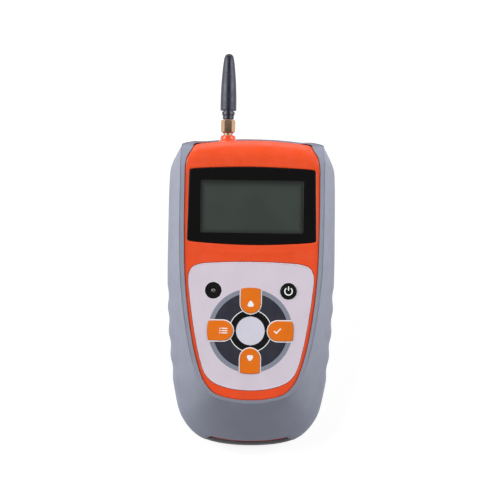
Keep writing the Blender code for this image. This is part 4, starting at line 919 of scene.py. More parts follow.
    def gripped(self, share: float, soft: float = 0.0) -> Ring:
        """Give the widest outline with its finger ripples.

        Args:
            share: Share of the ripples' depth.
            soft: Way from the plain outline, 0, to the soft one, 1.

        Returns:
            The outline.
        """
        depths = []
        outline = blend(self.body, self.soft, soft)
        for point in outline:
            run = (self.grip_start - point.y) / self.grip_pitch
            wave = (1 - math.cos(2 * math.pi * run)) / 2 if 0 <= run <= self.grip_count else 0.0
            depths.append(self.grip_depth * share * wave)
        return inset(outline, depths)


@dataclass
class Slot:
    """The opening in the bumper's chin, where both shells show."""

    half_width: float = 28.2
    middle: float = 17.4
    half_height: float = 5.9
    squareness: float = 44.0
    end_slope: float = 3.0

    def share(self, x: float) -> float:
        """Give the slot's half height at a distance from the middle, as a share of its greatest."""
        return max(1 - (abs(x) / self.half_width) ** self.squareness, 0.0) ** 0.5

    def edges(self, point: Vector) -> Triple:
        """Find the slot's upper and lower edge at a point of the widest outline, and how open it is there."""
        share = self.share(point.x) if point.y < 0 else 0.0
        reach = self.half_height * (share or 1.0)
        return self.middle + reach, self.middle - reach, min(share * self.end_slope, 1.0)


@dataclass
class Bumper(Group):
    """The rubber ring round both shells: lip, crease, rippled sides, chin slot and back rim."""

    lines: BodyLines
    slot: Slot
    shoulder_share: float = 0.7
    shoulder_grip: float = 0.5
    waist_z: float = 19.5
    levels: tuple = ((1.0, 0.0, 0.14, 19.5), (1.0, 0.6, 0.66, 11.7), (0.6, 1.0, 2.0, 4.3))
    rim_setback: float = 5.0
    inner_drop: float = 1.2
    inner_tops: Pair = (20.2, 20.6)
    lip_gap: float = 0.04
    horn_foot: float = 85.0
    horn_gap: float = 0.85
    horn_end: float = 38.0
    horn_fade: float = 200.0
    lip_heel: float = 0.25
    lip_round: float = 0.14
    lip_curl: tuple = ((2.5, 0.0), (1.0, 0.0), (0.45, 0.12), (0.12, 0.45), (0.0, 1.0))
    groove: tuple = ((0.30, 0.03), (0.50, 0.07), (0.70, 0.14), (0.82, 0.24), (0.90, 0.42), (0.95, 0.36), (1.0, 0.0))
    chin_tuck: float = 0.55
    tuck_start: float = -45.0
    tuck_ramp: float = 45.0
    side_shares: tuple = (0.03, 0.07, 0.16, 0.3, 0.45, 0.6, 0.75, 0.88, 1.0)
    rim_reach: float = 0.45
    upper_rim: tuple = ((0.32, -0.128), (0.16, -0.16), (0.04, 0.05), (0.0, 0.40))
    lower_rim: tuple = ((0.0, 0.40), (-0.12, 0.06))
    slot_depth: float = 1.7
    slot_ease: float = 0.02
    floor_shares: tuple = (0.06, 0.2, 0.33, 0.5, 0.7, 0.94)
    foot_shares: tuple = (0.0, 0.2, 0.4, 0.6, 0.78, 0.9, 0.96)
    land_drop: float = 0.18
    land_gap: float = 0.12
    land_back: float = 1.6
    land_profile: tuple = ((0.0, 0.3), (0.02, 0.08), (0.05, 0.0), (0.25, 0.0), (0.5, 0.0), (0.75, 0.0), (0.95, 0.0),
                           (0.98, 0.08), (1.0, 0.3))
    window_z: float = 21.0
    window_start: float = 38.0
    window_ramp: float = 12.0
    window_step: float = 0.15
    samples: int = 12
    slot_edges: list[Triple] = field(init=False)
    creases: Ring = field(init=False)
    inward: Ring = field(init=False)
    curves: list[Ring] = field(init=False)

    def __post_init__(self) -> None:
        """Draw the outer surface as one curve for each point of the outlines."""
        lines = self.lines
        creases = lift(lines.lip, [lines.depth - drop - fall
                                   for drop, fall in zip(lines.lip_drops, lines.crease_falls)])
        shoulder = lift(blend(lines.lip, lines.gripped(self.shoulder_grip), self.shoulder_share),
                        [self.waist_z + (crease.z - self.waist_z) * (1 - self.shoulder_share) for crease in creases])
        rings = [creases, shoulder]
        tucks = [self.chin_tuck * held((self.tuck_start - point.y) / self.tuck_ramp) for point in lines.body]
        rings += [lift(inset(lines.gripped(grip, soft), [draw + tuck for tuck in tucks]), height)
                  for grip, soft, draw, height in self.levels]
        rings.append(self.back_rim())
        self.slot_edges = [self.slot.edges(point) for point in lines.body]
        self.creases = creases
        self.inward = [(b - a).normalized() for a, b in zip(lines.body, inset(lines.body, 1.0))]
        self.curves = [self.curve([ring[index] for ring in rings]) for index in range(len(creases))]

    def back_rim(self) -> Ring:
        """Give the rim that the body lies on."""
        return lift(inset(self.lines.soft, self.rim_setback), 0.0)

    def curve(self, points: Sequence[Vector]) -> Ring:
        """Draw one smooth line down the outer surface.

        Args:
            points: The points that it runs through, from the crease to the back rim.

        Returns:
            The line.
        """
        padded = [points[0] * 2 - points[1], *points, points[-1] * 2 - points[-2]]
        drawn = [curve_point(padded[span:span + 4], share)
                 for span in range(len(points) - 1) for share in even(self.samples)]
        return [*drawn, points[-1]]

    def surface(self, index: int, height: float, depth: float = 0.0) -> Vector:
        """Find the outer surface at one height, or a point so far behind it.

        Args:
            index: Which point of the outlines.
            height: Height above the resting plane.
            depth: Distance inwards from the surface.

        Returns:
            The point.
        """
        line = self.curves[index]
        for upper, lower in zip(line, line[1:]):
            if upper.z >= height >= lower.z:
                share = (upper.z - height) / max(upper.z - lower.z, TINY)
                found = upper.lerp(lower, share)
                break
        else:
            found = line[0] if height > line[0].z else line[-1]
        inward = self.inward[index]
        return Vector((found.x + inward.x * depth, found.y + inward.y * depth, height))

    def outer_ring(self, heights: Callable[[int], float], depth: float = 0.0) -> Ring:
        """Give one ring on the outer surface, or so far behind it where the slot is open."""
        return [self.surface(index, heights(index), depth * edges[2]) for index, edges in enumerate(self.slot_edges)]

    def windowed(self, ring: Ring, top: float) -> Ring:
        """Cut a ring down along the top edge, where the front shell shows.

        Args:
            ring: The ring.
            top: The greatest height that is left there.

        Returns:
            The cut ring.
        """
        cut = []
        for point in ring:
            share = held((self.window_start - abs(point.x)) / self.window_ramp) if point.y > 0 else 0.0
            smooth = share * share * (3 - 2 * share)
            cut.append(Vector((point.x, point.y, point.z + (min(point.z, top) - point.z) * smooth)))
        return cut

    def lip_clearance(self, point: Vector) -> float:
        """Give the lip's distance from the front shell, wider along the top edge between the horns.

        Args:
            point: A point of the front shell's outline.

        Returns:
            The distance there.
        """
        past = self.horn_end - abs(point.x)
        if point.y < self.horn_foot or past < 0:
            return self.lip_gap
        return self.lip_gap + self.horn_gap * min(past, 1.0) * math.exp(-past / self.horn_fade)

    def lip_ring(self, share: float, drop: float = 0.0, out: float = 0.0, cut: float = 0.0) -> Ring:
        """Give a ring across the lip.

        Args:
            share: Way from its inner edge, 0, to the crease, 1.
            drop: How far the ring lies lower all round.
            out: How far the inner edge is moved outwards.
            cut: Depth of the groove beside the crease, where there is one.

        Returns:
            The ring.
        """
        lines = self.lines
        inner = inset(lines.front, [-self.lip_clearance(point) - out for point in lines.front])
        flat = blend(inner, lines.lip, share)
        return lift(flat, [lines.depth - self.lip_heel * (1 - share) - roll - fall * share - drop - cut * part
                           for roll, fall, part in zip(lines.lip_drops, lines.crease_falls, lines.groove_shares)])

    def rings(self) -> list[Ring]:
        """List the rings once round the section.

        Returns:
            Rings from the inner wall over the lip, down past the slot to the back rim and inside again.
        """
        lines, edge, curl = self.lines, self.slot_edges, self.lip_round
        start = [crease.z for crease in self.creases]
        upper = [lift(inset(lines.core, -lines.gap), lines.rear_rim_z - self.inner_drop),
                 drawn_in(lines.halfway(), -lines.gap)]
        upper += [self.lip_ring(0, curl * drop, curl * out) for drop, out in self.lip_curl]
        upper += [self.lip_ring(share, cut=depth) for share, depth in self.groove]
        upper += [self.outer_ring(lambda i, s=share: start[i] + (edge[i][0] + self.rim_reach - start[i]) * s)
                  for share in self.side_shares]
        upper += [self.outer_ring(lambda i, r=rise: edge[i][0] + r, depth)
                  for rise, depth in (*self.upper_rim, (-self.slot_ease, self.slot_depth))]
        tops = [*self.inner_tops, *[self.window_z] * len(upper)]
        rings = [self.windowed(ring, top) for ring, top in zip(upper, tops)]
        for share in self.floor_shares:
            within = self.outer_ring(lambda i, s=share: edge[i][0] + (edge[i][1] - edge[i][0]) * s, self.slot_depth)
            rings.append(self.windowed(within, self.window_z - self.window_step))
        rings += [self.outer_ring(lambda i, r=rise: edge[i][1] + r, depth)
                  for rise, depth in ((self.slot_ease, self.slot_depth), *self.lower_rim)]
        rings += [self.outer_ring(lambda i, s=share: (edge[i][1] - self.rim_reach) * (1 - s))
                  for share in self.foot_shares]
        rings.append(self.back_rim())
        draw, _ = lines.back_levels[0]
        rings.append(lift(lines.shrunk(lines.core, draw - lines.gap), 0.0))
        rings += [lift(lines.shrunk(lines.core, draw - lines.gap), height) for draw, height in lines.back_levels[1:]]
        return rings

    def build(self) -> None:
        """Make the bumper."""
        solid = Solid().hoop(self.rings())
        self.bench.place("bumper_skin", solid, Look.BUMPER, "grey_rubber", stands_for=["bumper"], sharp=50)

    def land(self, top: Callable[[int], float], foot: Callable[[int], float], drop: float) -> Solid:
        """Make the strip of a shell that shows in the slot.

        Args:
            top: Height of the strip's upper edge at each point of the outlines.
            foot: Height of its lower edge.
            drop: How far it lies behind the bumper's skin.

        Returns:
            The strip, from one end of the slot to the other.
        """
        inside = [index for index, point in enumerate(self.lines.body)
                  if point.y < 0 and abs(point.x) < self.slot.half_width - self.land_gap]
        profile = [(0.0, self.land_back), *((share, drop + more) for share, more in self.land_profile),
                   (1.0, self.land_back)]
        return Solid().block([[self.surface(i, top(i) + (foot(i) - top(i)) * share, depth) for share, depth in profile]
                              for i in inside])


@dataclass
class FrontShell(Group):
    """The orange moulding: rolled top, face with the recesses, and the antenna's boss."""

    lines: BodyLines
    bumper: Bumper
    wall: float = 2.4
    inner_face_z: float = 41.0
    lens_seat_z: float = 42.0
    overlay_seat_z: float = 42.7
    recess_ease: float = 0.18
    lens_edge: Triple = (0.55, 1.5, 0.20)
    crest_half: float = 38.0
    crest_middle: float = 26.0
    crest_rise: float = 2.6
    crest_height: float = 0.17
    crest_reach: Pair = (2.9, 4.2)
    crest_steps: int = 32
    crest_shares: tuple = (0.0, 0.35, 0.7, 0.9, 1.0)
    relief: float = 0.8
    roll_steps: int = 14
    strip_gap: float = 0.3
    strip_foot: float = 0.2
    strip_drop: float = 0.85
    boss: tuple = ((0, 92.9), (5.9, 92.9), (5.9, 97.0), (5.6, 97.5), (5.35, 97.9), (5.15, 98.4), (4.98, 99.1),
                   (4.85, 99.8), (4.74, 100.4), (4.62, 100.72), (4.43, 100.96), (4.15, 101.08), (3.9, 101.1),
                   (3.3, 101.1), (3.3, 99.0), (0, 99.0))

    def rolled(self) -> list[Ring]:
        """Round the front edge.

        Returns:
            Rings from the slanted side up to the flat face.
        """
        lines = self.lines
        rings = []
        start = lines.slope(lines.roll_depths)
        for step in range(self.roll_steps + 1):
            share = step / self.roll_steps
            ring = []
            for low, edge, flat, lead in zip(start, lines.front, lines.face, lines.roll_leads):
                corner = edge.lerp(flat, lead).to_3d() + Vector((0, 0, lines.face_z))
                end = Vector((flat.x, flat.y, lines.face_z))
                ring.append(low * (1 - share) ** 2 + corner * (2 * share * (1 - share)) + end * share ** 2)
            rings.append(ring)
        return rings

    def lens_rim(self, lens: Ring, steps: int = 6) -> list[Ring]:
        """Round the edge of the lens's recess, wider above and below than at the sides.

        Args:
            lens: The recess's outline.
            steps: Number of rings past the first.

        Returns:
            Rings from the recess's wall to the face.
        """
        wide, tall, deep = self.lens_edge
        rings = []
        for step in range(steps + 1):
            turn = math.pi / 2 * step / steps
            reach = 1 - math.cos(turn)
            moved = [point + Vector((out.x * wide, out.y * tall)) * reach
                     for point, out in zip(lens, (b - a for a, b in zip(lens, inset(lens, -1.0))))]
            rings.append(lift(moved, self.lines.face_z - deep * (1 - math.sin(turn))))
        return rings

    def crest(self) -> list[Ring]:
        """Draw the low crest between the lens and the keypad.

        Returns:
            Rings from its foot up its flanks to its top line.
        """
        above, below = self.crest_reach
        places = [-1 + 2 * step / self.crest_steps for step in range(self.crest_steps + 1)]
        rings = []
        for share in self.crest_shares:
            upper, lower = [], []
            for place in places:
                fade = 1 - place * place
                x, middle = place * self.crest_half, self.crest_middle + self.crest_rise * place * place
                height = self.lines.face_z + self.crest_height * fade * share
                upper.append(Vector((x, middle + above * fade * (1 - share), height)))
                lower.append(Vector((x, middle - below * fade * (1 - share), height)))
            rings.append(upper + lower[-2:0:-1])
        return rings

    def build(self, lens: Ring, view: Ring, overlay: Ring, holes: Sequence[Ring]) -> None:
        """Make the shell.

        Args:
            lens: Outline of the lens's recess.
            view: Outline of the display's opening.
            overlay: Outline of the keypad's recess.
            holes: Outlines of the key and lamp holes.
        """
        lines, edge = self.lines, self.bumper.slot_edges
        under = lines.slope([max(depth, lines.face_z - self.inner_face_z) for depth in lines.roll_depths])
        inner = [lift(inset(lines.face, self.wall), self.inner_face_z), drawn_in(under, self.wall),
                 lift(inset(lines.core, self.wall), lines.front_rim_z)]
        solid = Solid()
        inner_edge, face_edge = solid.tube([*inner, lift(lines.core, lines.front_rim_z),
                                            drawn_in(lines.halfway(), self.relief), *self.rolled()])
        lens_foot, lens_top = solid.tube([lift(lens, self.lens_seat_z), *self.lens_rim(lens)])
        crest_foot, _ = solid.tube(self.crest())
        pad_foot, pad_top = solid.tube([lift(overlay, self.overlay_seat_z),
                                        *eased(overlay, lines.face_z, -self.recess_ease)])
        view_foot, view_top = solid.tube([lift(view, self.inner_face_z), lift(view, self.lens_seat_z)])
        keys = [solid.tube([lift(hole, self.inner_face_z), lift(hole, self.overlay_seat_z)]) for hole in holes]
        solid.fill(face_edge, lens_top, pad_top, crest_foot)
        solid.fill(lens_foot, view_top)
        solid.fill(pad_foot, *(key[1] for key in keys))
        solid.fill(inner_edge, view_foot, *(key[0] for key in keys))
        solid.add(self.bumper.land(lambda i: edge[i][0] - self.strip_gap,
                                   lambda i: lines.front_rim_z - self.strip_foot, self.strip_drop))
        self.bench.place("front_moulding", solid, Look.SHELL, "orange_plastic", stands_for=["front_shell"])
        boss = Solid().spin(self.boss).move(TO_ANTENNA)
        self.bench.place("antenna_boss", boss, Look.BOSS, "orange_plastic")


@dataclass
class Display(Group):
    """The black lens with its window, and the display glass behind it."""

    half_width: float = 40.9
    draw: float = 0.9
    top: float = 80.5
    foot: float = 31.1
    top_rise: float = 1.8
    foot_rise: float = 2.4
    corner: float = 1.4
    top_z: float = 43.9
    thickness: float = 1.2
    ease: float = 0.22
    gap: float = 0.3
    view_half: Pair = (32.5, 16.8)
    view_shift: float = -0.3
    view_margin: float = 1.0
    view_corner: float = 0.9
    least_growth: float = -0.3
    glass_drop: float = 0.55
    glass_fit: float = 0.02
    panel_half: Pair = (36.0, 20.2)
    panel_z: Pair = (37.6, 40.1)
    panel_corner: float = 0.6
    panel_ease: float = 0.2

    @property
    def centre(self) -> Pair:
        """Give the middle of the window."""
        return 0.0, (self.top + self.foot) / 2 + self.view_shift

    def outline(self, margin: float) -> Ring:
        """Draw the lens with bowed upper and lower edges.

        Args:
            margin: How much smaller it is all round, below nought for a larger one.

        Returns:
            The outline.
        """
        foot_half = self.half_width - margin
        top_half = foot_half - self.draw
        top, foot, corner = self.top - margin, self.foot + margin, self.corner
        near = corner * (1 - math.sqrt(0.5))

        def bow(edge: float, rise: float, half: float, x: float) -> float:
            """Give the height of a bowed edge."""
            return edge - rise * (x / half) ** 2

        points = [(0, top), (top_half / 2, bow(top, self.top_rise, top_half, top_half / 2)),
                  (top_half - corner, bow(top, self.top_rise, top_half, top_half - corner)),
                  (top_half - near, top - self.top_rise - near), (top_half, top - self.top_rise - corner),
                  (foot_half, foot + self.foot_rise + corner),
                  (foot_half - near, foot + self.foot_rise + near),
                  (foot_half - corner, bow(foot, -self.foot_rise, foot_half, foot_half - corner)),
                  (foot_half / 2, bow(foot, -self.foot_rise, foot_half, foot_half / 2)), (0, foot)]
        return mirrored_outline(points, [even(6)] * (len(points) - 1), (4,))

    def window(self, growth: float) -> Ring:
        """Draw the window, grown by a distance."""
        half_x, half_y = (half + growth for half in self.view_half)
        return round_box(half_x, half_y, self.view_corner + max(growth, self.least_growth), self.centre)

    def build(self) -> None:
        """Make the lens and the glass."""
        low, high = self.panel_z
        lens = Solid().plate(self.outline(0), [self.window(0)], self.top_z - self.thickness, self.top_z, self.ease)
        self.bench.place("lens_plate", lens, Look.LENS, "lens", stands_for=["display_lens"])
        window = self.window(self.glass_fit)
        glass = Solid().block([lift(window, high), lift(window, self.top_z - self.glass_drop)])
        panel = round_box(*self.panel_half, self.panel_corner, self.centre)
        glass.add(Solid().block([lift(panel, low), *eased(panel, high, self.panel_ease, 2)]))
        self.bench.place("display_glass", glass, Look.GLASS, "lcd", stands_for=["lcd_panel"])


class Sign(Enum):
    """What is printed on a key."""

    UP = "up"
    LIST = "list"
    DOWN = "down"
    TICK = "tick"


@dataclass
class Keypad(Group):
    """The pale overlay with the printed dial, four orange keys, the power key and the lamp."""

    half_width: float = 39.9
    foot: float = -61.5
    top: float = 20.2
    shape: tuple = ((0, 1), (0.501, 0.994), (0.817, 0.980), (0.932, 0.956), (0.988, 0.909), (1, 0.851),
                    (0.985, 0.771), (0.942, 0.606), (0.862, 0.373), (0.777, 0.202), (0.709, 0.122),
                    (0.584, 0.061), (0.326, 0.015), (0, 0))
    top_z: float = 43.9
    thickness: float = 0.5
    gap: float = 0.3
    film_ease: float = 0.05
    hole_ease: float = 0.10
    dial_y: float = -23.6
    key_inner: float = 11.2
    key_outer: float = 27.3
    key_half: float = 6.3
    key_corner: float = 0.5
    corner_span: int = 8
    end_steps: int = 32
    rim_steps: int = 16
    key_z: Triple = (39.9, 40.8, 44.5)
    key_ease: float = 0.30
    key_flange: float = 1.1
    stem_radius: float = 2.0
    stem_foot: float = 37.7
    stem_sink: float = 0.2
    hole_gap: float = 0.12
    bead_width: float = 0.75
    bead_height: float = 0.13
    outline_width: float = 0.65
    ink: float = 0.03
    print_gap: float = 0.03
    print_ease: float = 0.02
    disc_radius: float = 9.1
    black_outer: float = 13.2
    line_width: float = 0.5
    slate_outer: float = 24.0
    ring_outer: float = 26.8
    sector_rows: int = 10
    sector_columns: int = 24
    least_turn: float = 0.004
    sign_radius: float = 17.2
    drop_shape: tuple = ((0, 1.9), (0.8, 1.5), (1.85, -0.35), (1.95, -1.2), (1.35, -1.7), (0, -1.85))
    tick_shape: tuple = ((-2.4, -0.1), (-1.85, 0.5), (-0.75, -0.65), (1.85, 1.95), (2.4, 1.4), (-0.75, -1.85))
    list_rows: tuple = (-1.45, 0, 1.45)
    list_bar: Triple = (1.9, 0.34, 0.3)
    bar_x: float = 0.75
    list_dot: float = 0.42
    dot_x: float = -2.15
    button_radius: float = 5.2
    button_round: tuple = ((0.0, 0.5), (0.05, 0.28), (0.18, 0.12), (0.40, 0.03), (0.7, 0.0))
    button_spread: float = 23.9
    button_rise: float = 25.5
    power_ring: Pair = (2.0, 2.75)
    power_sweep: float = 284.0
    power_steps: int = 56
    power_bar: Triple = (0.38, 1.35, 0.3)
    power_bar_y: float = 1.75
    halo: float = 0.16
    bezel_z: Pair = (42.0, 44.0)
    bezel_round: tuple = ((0.0, 0.3), (0.09, 0.09), (0.3, 0.0))
    bezel_bore: tuple = ((0.62, 0.0), (0.42, 0.08), (0.3, 0.3))
    lamp_radius: float = 1.6
    lamp_z: Triple = (33.2, 43.0, 44.0)
    keys: tuple = (("key_up", 0.0, Sign.UP), ("key_menu", 0.5, Sign.LIST), ("key_down", 1.0, Sign.DOWN),
                   ("key_confirm", -0.5, Sign.TICK))

    def button_spot(self, side: int) -> Pair:
        """Give the middle of the power key, for side 1, or of the lamp, for side -1."""
        return side * self.button_spread, self.dial_y + self.button_rise

    @property
    def key_centre(self) -> float:
        """Give the distance from the dial's middle to the middle of a key's round end."""
        return self.key_inner + self.key_half

    def overlay_outline(self) -> Ring:
        """Draw the overlay."""
        points = fitted(self.shape, self.half_width, self.foot, self.top)
        return mirrored_outline(points, [even(8)] * (len(points) - 1))

    def key_end(self, reach: float) -> Ring:
        """Draw the round inner end of the upper dial key, about the dial's middle."""
        turns = [-math.pi * step / self.end_steps for step in range(self.end_steps + 1)]
        return [Vector((reach * math.cos(turn), self.key_centre + reach * math.sin(turn))) for turn in turns]

    def key_outline(self, growth: float) -> Ring:
        """Draw the upper dial key about the dial's middle: a round inner end and an outer end on a circle.

        Args:
            growth: How much larger it is all round.

        Returns:
            The outline.
        """
        reach, outer = self.key_half + growth, self.key_outer + growth
        outline = self.key_end(reach)
        half_turn = math.asin(reach / outer)
        for step in range(self.rim_steps + 1):
            turn = half_turn * (2 * step / self.rim_steps - 1)
            bend = max(abs(turn) / half_turn * self.corner_span - (self.corner_span - 1), 0)
            rim = outer - self.key_corner * bend ** 2
            outline.append(Vector((rim * math.sin(turn), rim * math.cos(turn))))
        return outline

    def key_rail(self, growth: float) -> Ring:
        """Draw the upper key's grown sides and round inner end, as far out as the printed ring."""
        reach = self.key_half + growth
        end = math.sqrt(self.ring_outer ** 2 - reach ** 2)
        return [Vector((reach, end)), *self.key_end(reach), Vector((-reach, end))]

    def key_holes(self, growth: float) -> list[Ring]:
        """Draw the holes of the four keys, the power key and the lamp's disc."""
        holes = [turned(self.key_outline(growth), turn * math.pi, (0, self.dial_y)) for _, turn, _ in self.keys]
        return holes + [circle(self.button_radius + growth, self.button_spot(side)) for side in (1, -1)]

    def key_angle(self, radius: float, growth: float) -> float:
        """Give half the angle that a dial key takes.

        Args:
            radius: Distance from the dial's middle.
            growth: How much larger the key's outline is all round.

        Returns:
            The angle in radians.
        """
        reach, centre = self.key_half + growth, self.key_centre
        if radius >= math.hypot(centre, reach):
            return math.asin(reach / radius)
        cosine = (radius ** 2 + centre ** 2 - reach ** 2) / (2 * radius * centre)
        return math.acos(cosine) if cosine < 1 else 0.0

    def sectors(self, inner: float, outer: float, growth: float, height: float) -> Solid:
        """Print the four parts of a ring that show between the keys.

        Args:
            inner: Inner radius.
            outer: Outer radius.
            growth: Distance kept from the keys' own outlines.
            height: Height of the print's upper side.

        Returns:
            Thin plates on the overlay.
        """
        solid, count = Solid(), self.sector_columns
        radii = [inner + (outer - inner) * step / self.sector_rows for step in range(self.sector_rows + 1)]
        for quarter in range(4):
            rows = []
            for radius in radii:
                away = max(self.key_angle(radius, growth), self.least_turn)
                turns = [quarter * math.pi / 2 + away + (math.pi / 2 - 2 * away) * step / count
                         for step in range(count + 1)]
                rows.append([Vector((radius * math.cos(t), self.dial_y + radius * math.sin(t), height)) for t in turns])
            solid.tube(rows, closed=False)
        return solid.thicken(self.ink * 2)

    def print_dial(self) -> None:
        """Print the dial, the keys' white outlines and the halos on the overlay."""
        grown = self.hole_gap + self.outline_width
        foot, height = self.top_z - self.ink, self.top_z + self.ink
        bands = (("dial_black", self.disc_radius, self.black_outer, Look.BLACK),
                 ("dial_line", self.black_outer, self.black_outer + self.line_width, Look.WHITE),
                 ("dial_slate", self.black_outer + self.line_width, self.slate_outer, Look.SLATE),
                 ("dial_ring", self.slate_outer, self.ring_outer, Look.RING))
        for name, inner, outer, look in bands:
            self.bench.place(name, self.sectors(inner, outer, grown, height), look, "overlay")
        disc = Solid().plate(circle(self.disc_radius, (0, self.dial_y), 96), [], foot, height, self.ink)
        self.bench.place("dial_disc", disc, Look.DISC, "overlay")
        white = Solid()
        for _, turn, _ in self.keys:
            rails = [turned(self.key_rail(size), turn * math.pi, (0, self.dial_y))
                     for size in (grown, self.hole_gap + self.print_gap)]
            white.tube([lift(rail, height) for rail in rails], closed=False)
        white.thicken(self.ink * 2)
        start = self.button_radius + self.hole_gap + self.print_gap
        for spot in (self.button_spot(1), self.button_spot(-1)):
            white.plate(circle(start + self.halo, spot), [circle(start, spot)], foot, height, self.ink / 2)
        self.bench.place("dial_outlines", white, Look.WHITE, "overlay")

    def sign(self, kind: Sign) -> Solid:
        """Draw what is printed on a key, about its own middle.

        Args:
            kind: Which sign.

        Returns:
            A thin print on the key's top.
        """
        solid = Solid()
        level = ([], self.key_z[2] - self.ink, self.key_z[2] + self.ink, self.print_ease)
        if kind in (Sign.UP, Sign.DOWN):
            sense = 1 if kind is Sign.UP else -1
            drop = mirrored_outline(self.drop_shape, [even(6)] * (len(self.drop_shape) - 1))
            solid.plate([Vector((p.x, sense * p.y)) for p in drop[::sense]], *level)
        elif kind is Sign.LIST:
            for row in self.list_rows:
                solid.plate(round_box(*self.list_bar, (self.bar_x, row), 4), *level)
                solid.plate(circle(self.list_dot, (self.dot_x, row), 20), *level)
        else:
            solid.plate([Vector(point) for point in self.tick_shape], *level)
        return solid

    def build_keys(self) -> None:
        """Make the four dial keys with their signs."""
        flange_foot, flange_top, top = self.key_z
        radius, place = (self.key_inner + self.key_outer) / 2, (0, self.dial_y)
        for name, turn, kind in self.keys:
            cap, flange = (turned(self.key_outline(size), turn * math.pi, place) for size in (0, self.key_flange))
            solid = Solid().block([lift(flange, flange_foot), lift(flange, flange_top), lift(cap, flange_top),
                                   *eased(cap, top, self.key_ease)])
            spot, sign_spot = turned([Vector((0, radius)), Vector((0, self.sign_radius))], turn * math.pi, place)
            stem = circle(self.stem_radius, spot, 32)
            solid.block([lift(stem, self.stem_foot), lift(stem, flange_foot + self.stem_sink)])
            self.bench.place(f"{name}_cap", solid, Look.KEY, "orange_key", name, [name])
            mark = self.sign(kind).move(Matrix.Translation((sign_spot.x, sign_spot.y, 0)))
            self.bench.place(f"{name}_sign", mark, Look.WHITE, "overlay", name)

    def build_power(self) -> None:
        """Make the power key with its sign."""
        at = Matrix.Translation((*self.button_spot(1), 0))
        radius, (flange_foot, flange_top, top) = self.button_radius, self.key_z
        flange = radius + self.key_flange
        profile = [(0, self.stem_foot), (self.stem_radius, self.stem_foot), (self.stem_radius, flange_foot),
                   (flange, flange_foot), (flange, flange_top), (radius, flange_top),
                   *((radius - draw, top - drop) for draw, drop in self.button_round), (0, top)]
        self.bench.place("power_cap", Solid().spin(profile).move(at), Look.BUTTON, "black_plastic", "power_key",
                         ["power_key"])
        sign, (inner, outer) = Solid(), self.power_ring
        foot, head = top - self.ink, top + self.ink
        section = [sign.shape.verts.new((r, 0, z))
                   for r, z in ((inner, foot), (outer, foot), (outer, head), (inner, head))]
        face = sign.shape.faces.new(section)
        sweep = math.radians(self.power_sweep)
        sign.move(Matrix.Rotation(math.pi / 2 + (2 * math.pi - sweep) / 2, 4, "Z"))
        bmesh.ops.spin(sign.shape, geom=[*section, *face.edges, face], axis=(0, 0, 1), cent=(0, 0, 0), angle=sweep,
                       steps=self.power_steps)
        sign.plate(round_box(*self.power_bar, (0, self.power_bar_y), 4), [], foot, head, self.print_ease)
        self.bench.place("power_sign", sign.move(at), Look.WHITE, "overlay", "power_key")

    def build_lamp(self) -> None:
        """Make the lamp and the black disc that it sits in."""
        spot = Matrix.Translation((*self.button_spot(-1), 0))
        radius, lamp, (foot, top) = self.button_radius, self.lamp_radius, self.bezel_z
        bore = [(lamp + more, top - drop) for more, drop in self.bezel_bore]
        disc = [(bore[-1][0], foot), (radius, foot),
                *((radius - draw, top - drop) for draw, drop in self.bezel_round), *bore]
        self.bench.place("lamp_disc", Solid().spin(disc).move(spot), Look.BUTTON, "black_plastic",
                         stands_for=["indicator_bezel"])
        low, shoulder, tip = self.lamp_z
        dome = [(0, low), (lamp, low), (lamp, shoulder)]
        dome += [(lamp * math.cos(t), shoulder + math.sin(t)) for t in (math.pi * k / 16 for k in range(1, 8))]
        self.bench.place("lamp_lens", Solid().spin([*dome, (0, tip)]).move(spot), Look.LAMP, "lamp",
                         stands_for=["status_led"])

    def build(self) -> None:
        """Make the overlay, its prints and the keys."""
        overlay, outline, low = Solid(), self.overlay_outline(), self.top_z - self.thickness
        foot, top = overlay.tube([lift(outline, low), lift(outline, self.top_z - self.film_ease),
                                  *beaded(inset(outline, self.film_ease), self.top_z, self.bead_width,
                                          self.bead_height)])
        holes = [overlay.tube([lift(hole, low), *eased(hole, self.top_z, -self.hole_ease)])
                 for hole in self.key_holes(self.hole_gap)]
        overlay.fill(foot, *(hole[0] for hole in holes))
        overlay.fill(top, *(hole[1] for hole in holes))
        self.bench.place("keypad_film", overlay, Look.OVERLAY, "overlay", stands_for=["keypad_overlay"])
        self.print_dial()
        self.build_keys()
        self.build_power()
        self.build_lamp()


